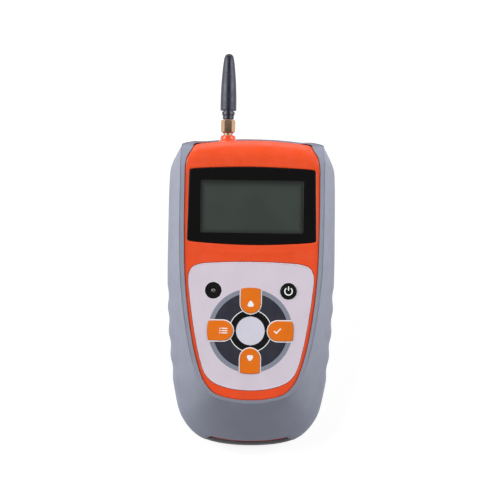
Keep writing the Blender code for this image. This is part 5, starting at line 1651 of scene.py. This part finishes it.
@dataclass
class Antenna(Group):
    """The gold jack and nut, the black collar and the rubber sleeve, all about one axis."""

    sleeve_foot: float = 116.9
    sleeve_bore: tuple = ((0, 32.7), (1.3, 32.2), (1.3, 0.0), (4.75, 0.0), (4.98, 0.06), (5.1, 0.18))
    sleeve: tuple = ((5.15, 0.35), (5.15, 4.0), (5.1, 9.0), (4.8, 17.0), (4.2, 25.0), (3.7, 30.0), (3.25, 33.0),
                     (2.5, 35.4), (1.2, 36.44), (0.0, 36.69))
    collar_foot: float = 111.3
    collar: tuple = ((1.2, -0.7), (2.7, -0.7), (2.7, 0.2), (3.35, 0.2), (3.55, 0.28), (3.6, 0.45), (3.6, 2.45),
                     (3.7, 2.62), (3.9, 2.72), (4.02, 2.82), (4.1, 3.0), (4.1, 4.85), (4.02, 5.0), (3.85, 5.05),
                     (3.1, 5.05), (3.1, 7.0), (1.2, 7.0))
    nut_foot: float = 102.7
    nut_length: float = 8.4
    nut_flat: float = 4.0
    nut_slack: float = 0.02
    nut_lead: tuple = ((0.0, 3.75), (0.15, 3.95), (0.45, 4.1))
    nut_chamfers: Pair = (0.55, 0.75)
    chamfer_steps: int = 4
    nut_face: float = 3.3
    nut_bores: Pair = (2.3, 3.4)
    bore_step: float = 2.4
    bore_lead: float = 0.3
    nut_sides: int = 96
    jack_foot: float = 92.0
    jack_top: float = 107.2
    jack_radius: float = 3.1
    jack_bore: Pair = (2.0, 4.0)
    jack_end: tuple = ((0.1, 0.15), (0.3, 0.0))
    thread_start: Pair = (101.2, 101.3)
    thread_pitch: float = 0.7056
    thread_depth: float = 0.35
    thread_form: Triple = (0.10, 0.32, 0.44)
    thread_end: float = 0.3

    def build_sleeve(self) -> None:
        """Make the rubber sleeve with its bore and the collar below it."""
        foot, points = self.sleeve_foot, [Vector(point) for point in self.sleeve]
        padded = [points[0] * 2 - points[1], *points, Vector((-points[-2].x, points[-2].y))]
        curve = [curve_point(padded[k:k + 4], share) for k in range(len(points) - 1) for share in even(6)]
        profile = [*((radius, foot + rise) for radius, rise in self.sleeve_bore),
                   *((max(p.x, 0.0), foot + p.y) for p in curve), (0, foot + points[-1].y)]
        self.bench.place("sleeve_rubber", Solid().spin(profile).move(TO_ANTENNA), Look.SLEEVE, "black_rubber",
                         "antenna", ["antenna_sleeve"])
        collar = [(radius, self.collar_foot + rise) for radius, rise in self.collar]
        self.bench.place("collar_ring", Solid().spin(collar).move(TO_ANTENNA), Look.COLLAR, "black_plastic", "antenna",
                         ["antenna_collar"])

    def nut_ring(self, height: float, cone: float) -> Ring:
        """Draw the nut's outline: a hexagon, cut back by the cone of its chamfer.

        Args:
            height: The outline's height.
            cone: The cone's radius there.

        Returns:
            The ring.
        """
        ring = []
        for step in range(self.nut_sides):
            turn = -2 * math.pi * step / self.nut_sides
            bend = turn % (math.pi / 3) - math.pi / 6
            reach = min(self.nut_flat / math.cos(bend), cone)
            ring.append(Vector((reach * math.cos(turn), reach * math.sin(turn), height)))
        return ring

    def build_nut(self) -> None:
        """Make the coupling nut: a chamfered hexagon with a stepped bore."""
        foot, top, steps = self.nut_foot, self.nut_foot + self.nut_length, self.chamfer_steps
        corner = self.nut_flat / math.cos(math.pi / 6) + self.nut_slack
        (start, cone), (lower, upper) = self.nut_lead[-1], self.nut_chamfers
        rings = [self.nut_ring(foot + rise, reach) for rise, reach in self.nut_lead]
        rings += [self.nut_ring(foot + start + lower * k / steps, cone + (corner - cone) * k / steps)
                  for k in range(1, steps + 1)]
        rings += [self.nut_ring(top - upper + upper * k / steps, corner - upper * k / steps)
                  for k in range(steps + 1)]
        rings.append(self.nut_ring(top, self.nut_face))
        neck, wide = (circle(radius, sides=self.nut_sides) for radius in self.nut_bores)
        rings += [lift(neck, top), lift(neck, top - self.bore_step), lift(wide, top - self.bore_step),
                  lift(wide, foot + self.bore_lead)]
        self.bench.place("nut_hexagon", Solid().hoop(rings).move(TO_ANTENNA), Look.GOLD, "gold_plate", "coupling_nut",
                         ["coupling_nut"], sharp=25)

    def build_jack(self) -> None:
        """Make the threaded jack that comes out of the boss."""
        outer, root, top = self.jack_radius, self.jack_radius - self.thread_depth, self.jack_top
        plain, height = self.thread_start
        valley, flank, land = self.thread_form
        profile = [(0, self.jack_foot), (outer, self.jack_foot), (outer, plain)]
        while height + self.thread_pitch < top - self.thread_end:
            profile += [(root, height), (root, height + valley), (outer, height + flank), (outer, height + land)]
            height += self.thread_pitch
        bore, depth = self.jack_bore
        profile += [*((outer - draw, top - drop) for draw, drop in self.jack_end), (bore, top), (bore, top - depth),
                    (0, top - depth)]
        self.bench.place("jack_thread", Solid().spin(profile).move(TO_ANTENNA), Look.THREAD, "gold_plate",
                         stands_for=["antenna_jack"], sharp=30)

    def build(self) -> None:
        """Make the antenna."""
        self.build_sleeve()
        self.build_nut()
        self.build_jack()


# The back


@dataclass
class Screw:
    """A round-headed screw with a cross recess, its head at Z nought and its shank above."""

    head_radius: float
    head_height: float
    shank_radius: float
    length: float
    pitch: float = 0.7
    root_share: float = 0.8
    thread_form: Pair = (0.4, 0.8)
    thread_lead: float = 0.6
    tip_length: float = 0.5
    tip_share: float = 0.55
    ease_share: float = 0.35
    ease_rise: float = 0.8
    ease_steps: int = 4
    cross_reach: float = 0.58
    cross_half: float = 0.15
    cross_taper: float = 0.72
    cross_depth: float = 0.6
    sides: int = 40

    def cross(self, scale: float, height: float) -> Ring:
        """Draw the cross recess.

        Args:
            scale: Its size as a share of its mouth.
            height: Height of the ring.

        Returns:
            The ring.
        """
        arm, half = self.head_radius * self.cross_reach * scale, self.head_radius * self.cross_half * scale
        corners = [(half, arm), (half, half), (arm, half), (arm, -half), (half, -half), (half, -arm), (-half, -arm),
                   (-half, -half), (-arm, -half), (-arm, half), (-half, half), (-half, arm)]
        return [Vector((x, y, height)) for x, y in corners]

    def profile(self) -> list[Pair]:
        """List the screw's radii and heights.

        Returns:
            Pairs of radius and height, from the head's face to the tip.
        """
        head, shank, ease = self.head_radius, self.shank_radius, self.head_height * self.ease_share
        turns = [math.pi / 2 * step / self.ease_steps for step in range(self.ease_steps + 1)]
        pairs = [(head - ease * (1 - math.sin(turn)), ease * (1 - math.cos(turn)) * self.ease_rise) for turn in turns]
        pairs += [(head, self.head_height), (shank, self.head_height)]
        height, (valley, ridge) = self.head_height + self.thread_lead, self.thread_form
        while height + self.pitch < self.length - self.thread_lead:
            pairs += [(shank, height), (shank * self.root_share, height + self.pitch * valley),
                      (shank, height + self.pitch * ridge)]
            height += self.pitch
        return [*pairs, (shank, self.length - self.tip_length), (shank * self.tip_share, self.length)]

    def build(self) -> Solid:
        """Make the screw.

        Returns:
            The screw, about Z.
        """
        solid = Solid()
        face, tip = solid.tube([lift(circle(radius, sides=self.sides), level) for radius, level in self.profile()])
        mouth, floor = solid.tube([self.cross(1.0, 0.0),
                                   self.cross(self.cross_taper, self.head_height * self.cross_depth)])
        solid.fill(face, mouth)
        solid.fill(floor)
        solid.fill(tip)
        return solid


@dataclass
class Battery(Group):
    """The battery door with its screws, and the cells between their springs and contacts."""

    centre_y: float = -41.0
    door_half: Pair = (25.7, 35.3)
    door_corner: float = 3.0
    door_z: Pair = (0.6, 2.6)
    door_ease: float = 0.45
    hole_radius: float = 1.5
    hole_gap: float = 0.3
    hole_seat: float = 0.6
    hole_ease: float = 0.3
    rib_half: Pair = (11.0, 0.7)
    rib_corner: float = 0.65
    rib_start: float = 9.0
    rib_sink: float = 0.3
    rib_rise: float = 0.35
    rib_pitch: float = 3.2
    rib_count: int = 5
    screw_reach: float = 32.0
    screw: tuple[float, float, float, float] = (2.4, 1.2, 1.2, 9.2)
    cell_x: Triple = (-15.0, 0.0, 15.0)
    cell_sense: tuple[int, int, int] = (1, -1, 1)
    cell_z: float = 10.9
    cell_length: float = 50.2
    cap_height: float = 1.0
    cap_gap: float = 0.3
    can: tuple = (((0, 0.1), (5.0, 0.1), (5.2, 0), (6.1, 0), (6.6, 0.2), (6.8, 0.6)),
                  ((6.8, -0.6), (6.5, -0.15), (6.0, 0), (3.3, 0), (3.1, -0.2), (2.75, -0.1), (2.7, 0), (2.7, 0.7),
                   (2.5, 0.93), (2.1, 1.0), (0, 1.0)))
    sleeve: tuple = (((6.75, 0.35), (6.95, 0.4), (7.05, 0.6)),
                     ((7.05, -0.6), (6.95, -0.35), (6.3, 0.02), (6.2, -0.1), (6.75, -0.5)))
    band: tuple = (((6.9, 35.0), (7.1, 35.05)), ((7.1, -0.9), (6.9, -0.85)))
    cell_sides: int = 64
    bay_reach: float = 28.1
    contact_half: float = 4.5
    contact_corner: float = 0.9
    contact_thickness: float = 0.6
    contact_ease: float = 0.15
    dimple: tuple = ((0, -0.3), (2.2, -0.3), (2.2, 0.0), (1.9, 0.06), (1.2, 0.18), (0, 0.2))
    wire: float = 0.4
    wire_sides: int = 10
    spring_radii: Pair = (4.6, 2.8)
    spring_length: float = 3.4
    spring_turns: int = 3
    turn_steps: int = 24

    def build_door(self) -> None:
        """Make the door, outer side down, with grip ribs and sunk places for its screws."""
        low, high = self.door_z
        outline = round_box(*self.door_half, self.door_corner)
        solid = Solid()
        ends = [solid.tube([lift(outline, -high), *eased(outline, -low, self.door_ease)])]
        for side in (-1, 1):
            spot = (0, side * self.screw_reach)
            wide, narrow = circle(self.screw[0] + self.hole_gap, spot, 40), circle(self.hole_radius, spot, 40)
            ends.append(solid.tube([lift(narrow, -high), lift(narrow, -high + self.hole_seat),
                                    lift(wide, -high + self.hole_seat), *eased(wide, -low, -self.hole_ease)]))
        solid.fill(*(end[0] for end in ends))
        solid.fill(*(end[1] for end in ends))
        for row in range(self.rib_count):
            y = -self.door_half[1] + self.rib_start + row * self.rib_pitch
            rib = round_box(*self.rib_half, self.rib_corner, (0, y), 4)
            solid.block([lift(rib, -low - self.rib_sink), *eased(rib, -low + self.rib_rise, self.rib_sink)])
        over = Matrix.Translation((0, self.centre_y, 0)) @ Matrix.Scale(-1, 4, (0, 0, 1))
        self.bench.place("door_plate", solid.move(over), Look.BACK, "charcoal_plastic", "battery_door",
                         ["battery_door"])
        for number, side in enumerate((-1, 1), 1):
            spot = Matrix.Translation((0, self.centre_y + side * self.screw_reach, low))
            self.bench.place(f"door_fixing_{number}", Screw(*self.screw).build().move(spot), Look.STEEL, "steel",
                             "battery_door", [f"door_screw_{number}"], sharp=30)

    def lay(self, x: float, start: float, sense: int) -> Matrix:
        """Lay a shape that was made along Z on the axis of a cell."""
        place = Matrix.Translation((x, self.centre_y + start, self.cell_z))
        return place @ Matrix.Rotation(-sense * math.pi / 2, 4, "X")

    def shell(self, ends: Sequence[Points], place: Matrix) -> Solid:
        """Turn one layer of a cell.

        Args:
            ends: Its profile's points, first those measured from the cell's foot, then those from its shoulder.
            place: Where the cell lies.

        Returns:
            The layer.
        """
        foot, head = ends
        top = self.cell_length - self.cap_height
        return Solid().spin([*foot, *((radius, top + rise) for radius, rise in head)], self.cell_sides).move(place)

    def build_cell(self, number: int, x: float, sense: int) -> None:
        """Make one cell: the can with its caps, the printed sleeve and a band at the positive end.

        Args:
            number: Which cell.
            x: Its place across the bay.
            sense: Which way it points, 1 or -1.
        """
        cap_end = self.bay_reach - self.contact_thickness - self.cap_gap
        place = self.lay(x, sense * (cap_end - self.cell_length), sense)
        self.bench.place(f"cell_{number}_can", self.shell(self.can, place), Look.STEEL, "steel",
                         stands_for=[f"cell_{number}"])
        self.bench.place(f"cell_{number}_sleeve", self.shell(self.sleeve, place), Look.CELL, "cell_label")
        self.bench.place(f"cell_{number}_band", self.shell(self.band, place), Look.BAND, "cell_label")

    def build_terminals(self, number: int, x: float, sense: int) -> None:
        """Make the conical spring behind a cell and the pressed contact before it.

        Args:
            number: Which cell.
            x: Its place across the bay.
            sense: Which way it points, 1 or -1.
        """
        steps, (wide, narrow) = self.spring_turns * self.turn_steps, self.spring_radii
        rings = []
        for step in range(steps + 1):
            share, turn = step / steps, 2 * math.pi * step / self.turn_steps
            out = Vector((math.cos(turn), math.sin(turn), 0))
            middle = out * (wide + (narrow - wide) * share) + Vector((0, 0, self.wire + self.spring_length * share))
            rings.append([middle + (out * math.cos(a) + Vector((0, 0, math.sin(a)))) * self.wire
                          for a in (2 * math.pi * k / self.wire_sides for k in range(self.wire_sides))])
        spring = Solid().block(rings).move(self.lay(x, -sense * self.bay_reach, sense))
        self.bench.place(f"spring_{number}_coil", spring, Look.STEEL, "steel", stands_for=[f"cell_spring_{number}"])
        thick, half = self.contact_thickness, self.contact_half
        plate = Solid().plate(round_box(half, half, self.contact_corner, steps=5), [], 0, thick, self.contact_ease)
        plate.add(Solid().spin([(radius, thick + rise) for radius, rise in self.dimple], 40))
        self.bench.place(f"contact_{number}_plate", plate.move(self.lay(x, sense * self.bay_reach, -sense)), Look.STEEL,
                         "steel", stands_for=[f"cell_contact_{number}"])

    def build(self) -> None:
        """Make the door and what is behind it."""
        self.build_door()
        for number, (x, sense) in enumerate(zip(self.cell_x, self.cell_sense), 1):
            self.build_cell(number, x, sense)
            self.build_terminals(number, x, sense)


@dataclass
class RearShell(Group):
    """The dark tub at the back, with the battery bay and the case screws."""

    lines: BodyLines
    bumper: Bumper
    battery: Battery
    wall: float = 2.4
    back_z: float = 0.6
    back_inset: float = 5.6
    floor_z: float = 3.0
    bay_half: Pair = (22.4, 28.4)
    bay_corner: float = 1.0
    bay_top_z: float = 18.3
    box_wall: float = 1.9
    box_corner: float = 2.0
    box_roof: float = 1.6
    ledge_z: float = 3.8
    gap: float = 0.3
    seat_ease: float = 0.35
    strip_gap: float = 0.4
    well_radius: float = 3.0
    well_ease: float = 0.4
    well_seat_z: float = 8.6
    screws: tuple = ((40.0, 75.7), (-40.0, 75.7), (36.0, -52.7), (-36.0, -52.7))
    screw: Triple = (2.7, 2.0, 1.4)

    def well(self, solid: Solid, place: Sequence[float]) -> list:
        """Sink the well of a case screw into the back.

        Args:
            solid: The tub.
            place: The screw's middle.

        Returns:
            The edges of the well's mouth.
        """
        bore = circle(self.well_radius, place, 40)
        mouth, seat = solid.tube([lift(circle(self.well_radius + self.well_ease, place, 40), self.back_z),
                                  lift(bore, self.back_z + self.well_ease), lift(bore, self.well_seat_z)])
        solid.fill(seat)
        return mouth

    def build_tub(self) -> None:
        """Make the tub."""
        lines, battery, edge = self.lines, self.battery, self.bumper.slot_edges
        (foot_draw, _), *_, (draw, height) = lines.back_levels
        sides = [lift(lines.shrunk(lines.core, inwards), level) for inwards, level in lines.back_levels]
        inner = [lift(lines.core, lines.rear_rim_z), lift(inset(lines.core, self.wall), lines.rear_rim_z),
                 lift(lines.shrunk(lines.core, draw + self.wall), height),
                 lift(lines.shrunk(lines.core, foot_draw + self.wall), self.floor_z)]
        solid = Solid()
        back_edge, inner_edge = solid.tube([lift(lines.shrunk(lines.core, self.back_inset), self.back_z), *sides,
                                            *inner])
        centre = (0, battery.centre_y)
        half_x, half_y = battery.door_half
        seat = round_box(half_x + self.gap, half_y + self.gap, battery.door_corner, centre)
        bay = round_box(*self.bay_half, self.bay_corner, centre)
        outside = round_box(half_x + self.box_wall, half_y + self.box_wall, self.box_corner, centre)
        seat_edge, ledge_outer = solid.tube([lift(inset(seat, -self.seat_ease), self.back_z),
                                             lift(seat, self.back_z + self.seat_ease), lift(seat, self.ledge_z)])
        ledge_inner, bay_roof = solid.tube([lift(bay, self.ledge_z), lift(bay, self.bay_top_z)])
        box_foot, box_top = solid.tube([lift(outside, self.floor_z), lift(outside, self.bay_top_z + self.box_roof)])
        wells = [self.well(solid, place) for place in self.screws]
        for loops in ((back_edge, seat_edge, *wells), (ledge_outer, ledge_inner), (bay_roof,), (box_top,),
                      (inner_edge, box_foot)):
            solid.fill(*loops)
        solid.add(self.bumper.land(lambda i: min(lines.rear_rim_z, edge[i][0] - self.strip_gap),
                                   lambda i: edge[i][1] + self.strip_gap, self.bumper.land_drop))
        self.bench.place("rear_moulding", solid, Look.BACK, "charcoal_plastic", stands_for=["rear_shell"])

    def build(self) -> None:
        """Make the tub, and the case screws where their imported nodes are."""
        self.build_tub()
        for number in range(1, len(self.screws) + 1):
            name = f"case_screw_{number}"
            (left, foot, low), (right, head, high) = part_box(name)
            spot = Matrix.Translation(((left + right) / 2 / MM, (foot + head) / 2 / MM + BODY_MIDDLE, low / MM))
            screw = Screw(*self.screw, high / MM - low / MM).build()
            self.bench.place(f"case_fixing_{number}", screw.move(spot), Look.STEEL, "steel", stands_for=[name],
                             sharp=30)


@dataclass
class Insides(Group):
    """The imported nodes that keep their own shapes."""

    keys: tuple = ("up", "menu", "down", "confirm", "power")
    finishes: tuple = ((Look.DARK, ("seam_gasket", "door_seal", "lens_tape", "buzzer", "battery_lead_black")),
                       (Look.RED, ("battery_lead_red",)), (Look.BOARD, ("main_board",)),
                       (Look.WHITE_PLASTIC, ("lcd_backlight",)), (Look.GOLD, ("plug_pin", "antenna_element")),
                       (Look.STEEL, ("lcd_bezel", "radio_shield")))
    board_screws: int = 4

    def dress(self) -> None:
        """Give every node that is not replaced its finish."""
        self.bench.dress(Look.DARK, [f"{kind}_{key}" for kind in ("switch", "plunger") for key in self.keys])
        self.bench.dress(Look.STEEL, [f"board_screw_{number}" for number in range(1, self.board_screws + 1)])
        for look, names in self.finishes:
            self.bench.dress(look, names)


# The stage


@dataclass
class Stage:
    """A white floor, soft lamps and the camera over the display."""

    distance: float = 1.20
    lens: float = 131.0
    sensor: float = 36.0
    side_angle: float = 0.3
    roll: float = 0.81
    aim: Triple = (-0.00087, 0.0006, 0.030)
    lamps: tuple = (("head_lamp", (-0.10, 1.40, 0.32), (1.6, 0.5), 5.5),
                    ("left_lamp", (-1.15, 0.38, 0.75), (0.8, 1.2), 18.2),
                    ("right_lamp", (1.15, 0.38, 0.75), (0.8, 1.2), 14.6))
    lamp_aim: Triple = (0.0, 0.0, 0.02)
    world: float = 0.13
    floor_radius: float = 6.0
    floor_z: float = -0.0004
    floor_glow: float = 0.80
    floor_seen: float = 0.36
    floor_plain: float = 0.8

    def build(self) -> None:
        """Set up the floor, the lamps, the world and the camera."""
        bpy.context.scene.view_settings.view_transform = "Standard"
        self.build_floor()
        self.build_world()
        for name, place, size, power in self.lamps:
            lamp = bpy.data.lights.new(name, "AREA")
            lamp.shape = "RECTANGLE"
            lamp.size, lamp.size_y = size
            lamp.energy = power
            item = bpy.data.objects.new(name, lamp)
            item.location = place
            item.rotation_euler = (Vector(self.lamp_aim) - Vector(place)).to_track_quat("-Z", "Y").to_euler()
            bpy.context.scene.collection.objects.link(item)
        self.build_camera()

    def build_world(self) -> None:
        """Surround the scene with even, dim white light."""
        world = bpy.data.worlds.new("studio")
        world.use_nodes = True
        background = world.node_tree.nodes["Background"].inputs
        background["Color"].default_value = (1, 1, 1, 1)
        background["Strength"].default_value = self.world
        bpy.context.scene.world = world

    def floor_material(self) -> bpy.types.Material:
        """Make the floor's material.

        Returns:
            White to the camera and to reflections, with the object's shadow on it, and plain to other light.
        """
        sheet = NodeSheet("floor_white")
        path = sheet.node("ShaderNodeLightPath").outputs
        either = sheet.maths("MAXIMUM", path["Is Camera Ray"], path["Is Glossy Ray"])
        straight = sheet.maths("MAXIMUM", either, path["Is Transmission Ray"])
        glow = sheet.node("ShaderNodeEmission", {"Strength": self.floor_glow}).outputs[0]
        pale, plain = (sheet.node("ShaderNodeBsdfDiffuse", {"Color": (shade, shade, shade, 1)}).outputs[0]
                       for shade in (self.floor_seen, self.floor_plain))
        seen = sheet.node("ShaderNodeAddShader", {0: glow, 1: pale}).outputs[0]
        floor = sheet.node("ShaderNodeMixShader", {0: straight, 1: plain, 2: seen}).outputs[0]
        sheet.tree.links.new(floor, sheet.tree.nodes["Material Output"].inputs["Surface"])
        for unused in (sheet.shader, sheet.place.node):
            sheet.tree.nodes.remove(unused)
        return sheet.material

    def build_floor(self) -> None:
        """Lay the floor."""
        shape = bmesh.new()
        bmesh.ops.create_circle(shape, cap_ends=True, segments=64, radius=self.floor_radius)
        bmesh.ops.translate(shape, verts=shape.verts, vec=(0, 0, self.floor_z))
        mesh = bpy.data.meshes.new("floor")
        shape.to_mesh(mesh)
        shape.free()
        mesh.materials.append(self.floor_material())
        floor = bpy.data.objects.new("floor", mesh)
        bpy.context.scene.collection.objects.link(floor)

    def build_camera(self) -> None:
        """Hang the camera over the display, a little to the left and a little turned."""
        camera = bpy.data.cameras.new("camera")
        camera.sensor_width = self.sensor
        camera.lens = self.lens
        item = bpy.data.objects.new("camera", camera)
        lean, turn = math.radians(self.side_angle), math.radians(self.roll)
        back = Vector((-math.sin(lean), 0, math.cos(lean)))
        up = Vector((-math.sin(turn), math.cos(turn), 0))
        right = up.cross(back).normalized()
        up = back.cross(right)
        place = Vector(self.aim) + back * (self.distance - self.aim[2])
        axes = Matrix((right, up, back)).transposed().to_4x4()
        item.matrix_world = Matrix.Translation(place) @ axes
        bpy.context.scene.collection.objects.link(item)
        bpy.context.scene.camera = item


def main() -> None:
    """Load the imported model, set up the stage and build the pieces in order."""
    logging.basicConfig(level=logging.INFO, format="%(name)s: %(message)s")
    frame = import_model()
    Stage().build()
    bench = Workbench(frame["nodes"])
    lines = BodyLines()
    bumper = Bumper(bench, lines, Slot())
    display, keypad, battery = Display(bench), Keypad(bench), Battery(bench)
    bumper.build()
    FrontShell(bench, lines, bumper).build(display.outline(-display.gap), display.window(display.view_margin),
                                           inset(keypad.overlay_outline(), -keypad.gap), keypad.key_holes(keypad.gap))
    display.build()
    keypad.build()
    Antenna(bench).build()
    RearShell(bench, lines, bumper, battery).build()
    battery.build()
    Insides(bench).dress()


if __name__ == "__main__":
    main()
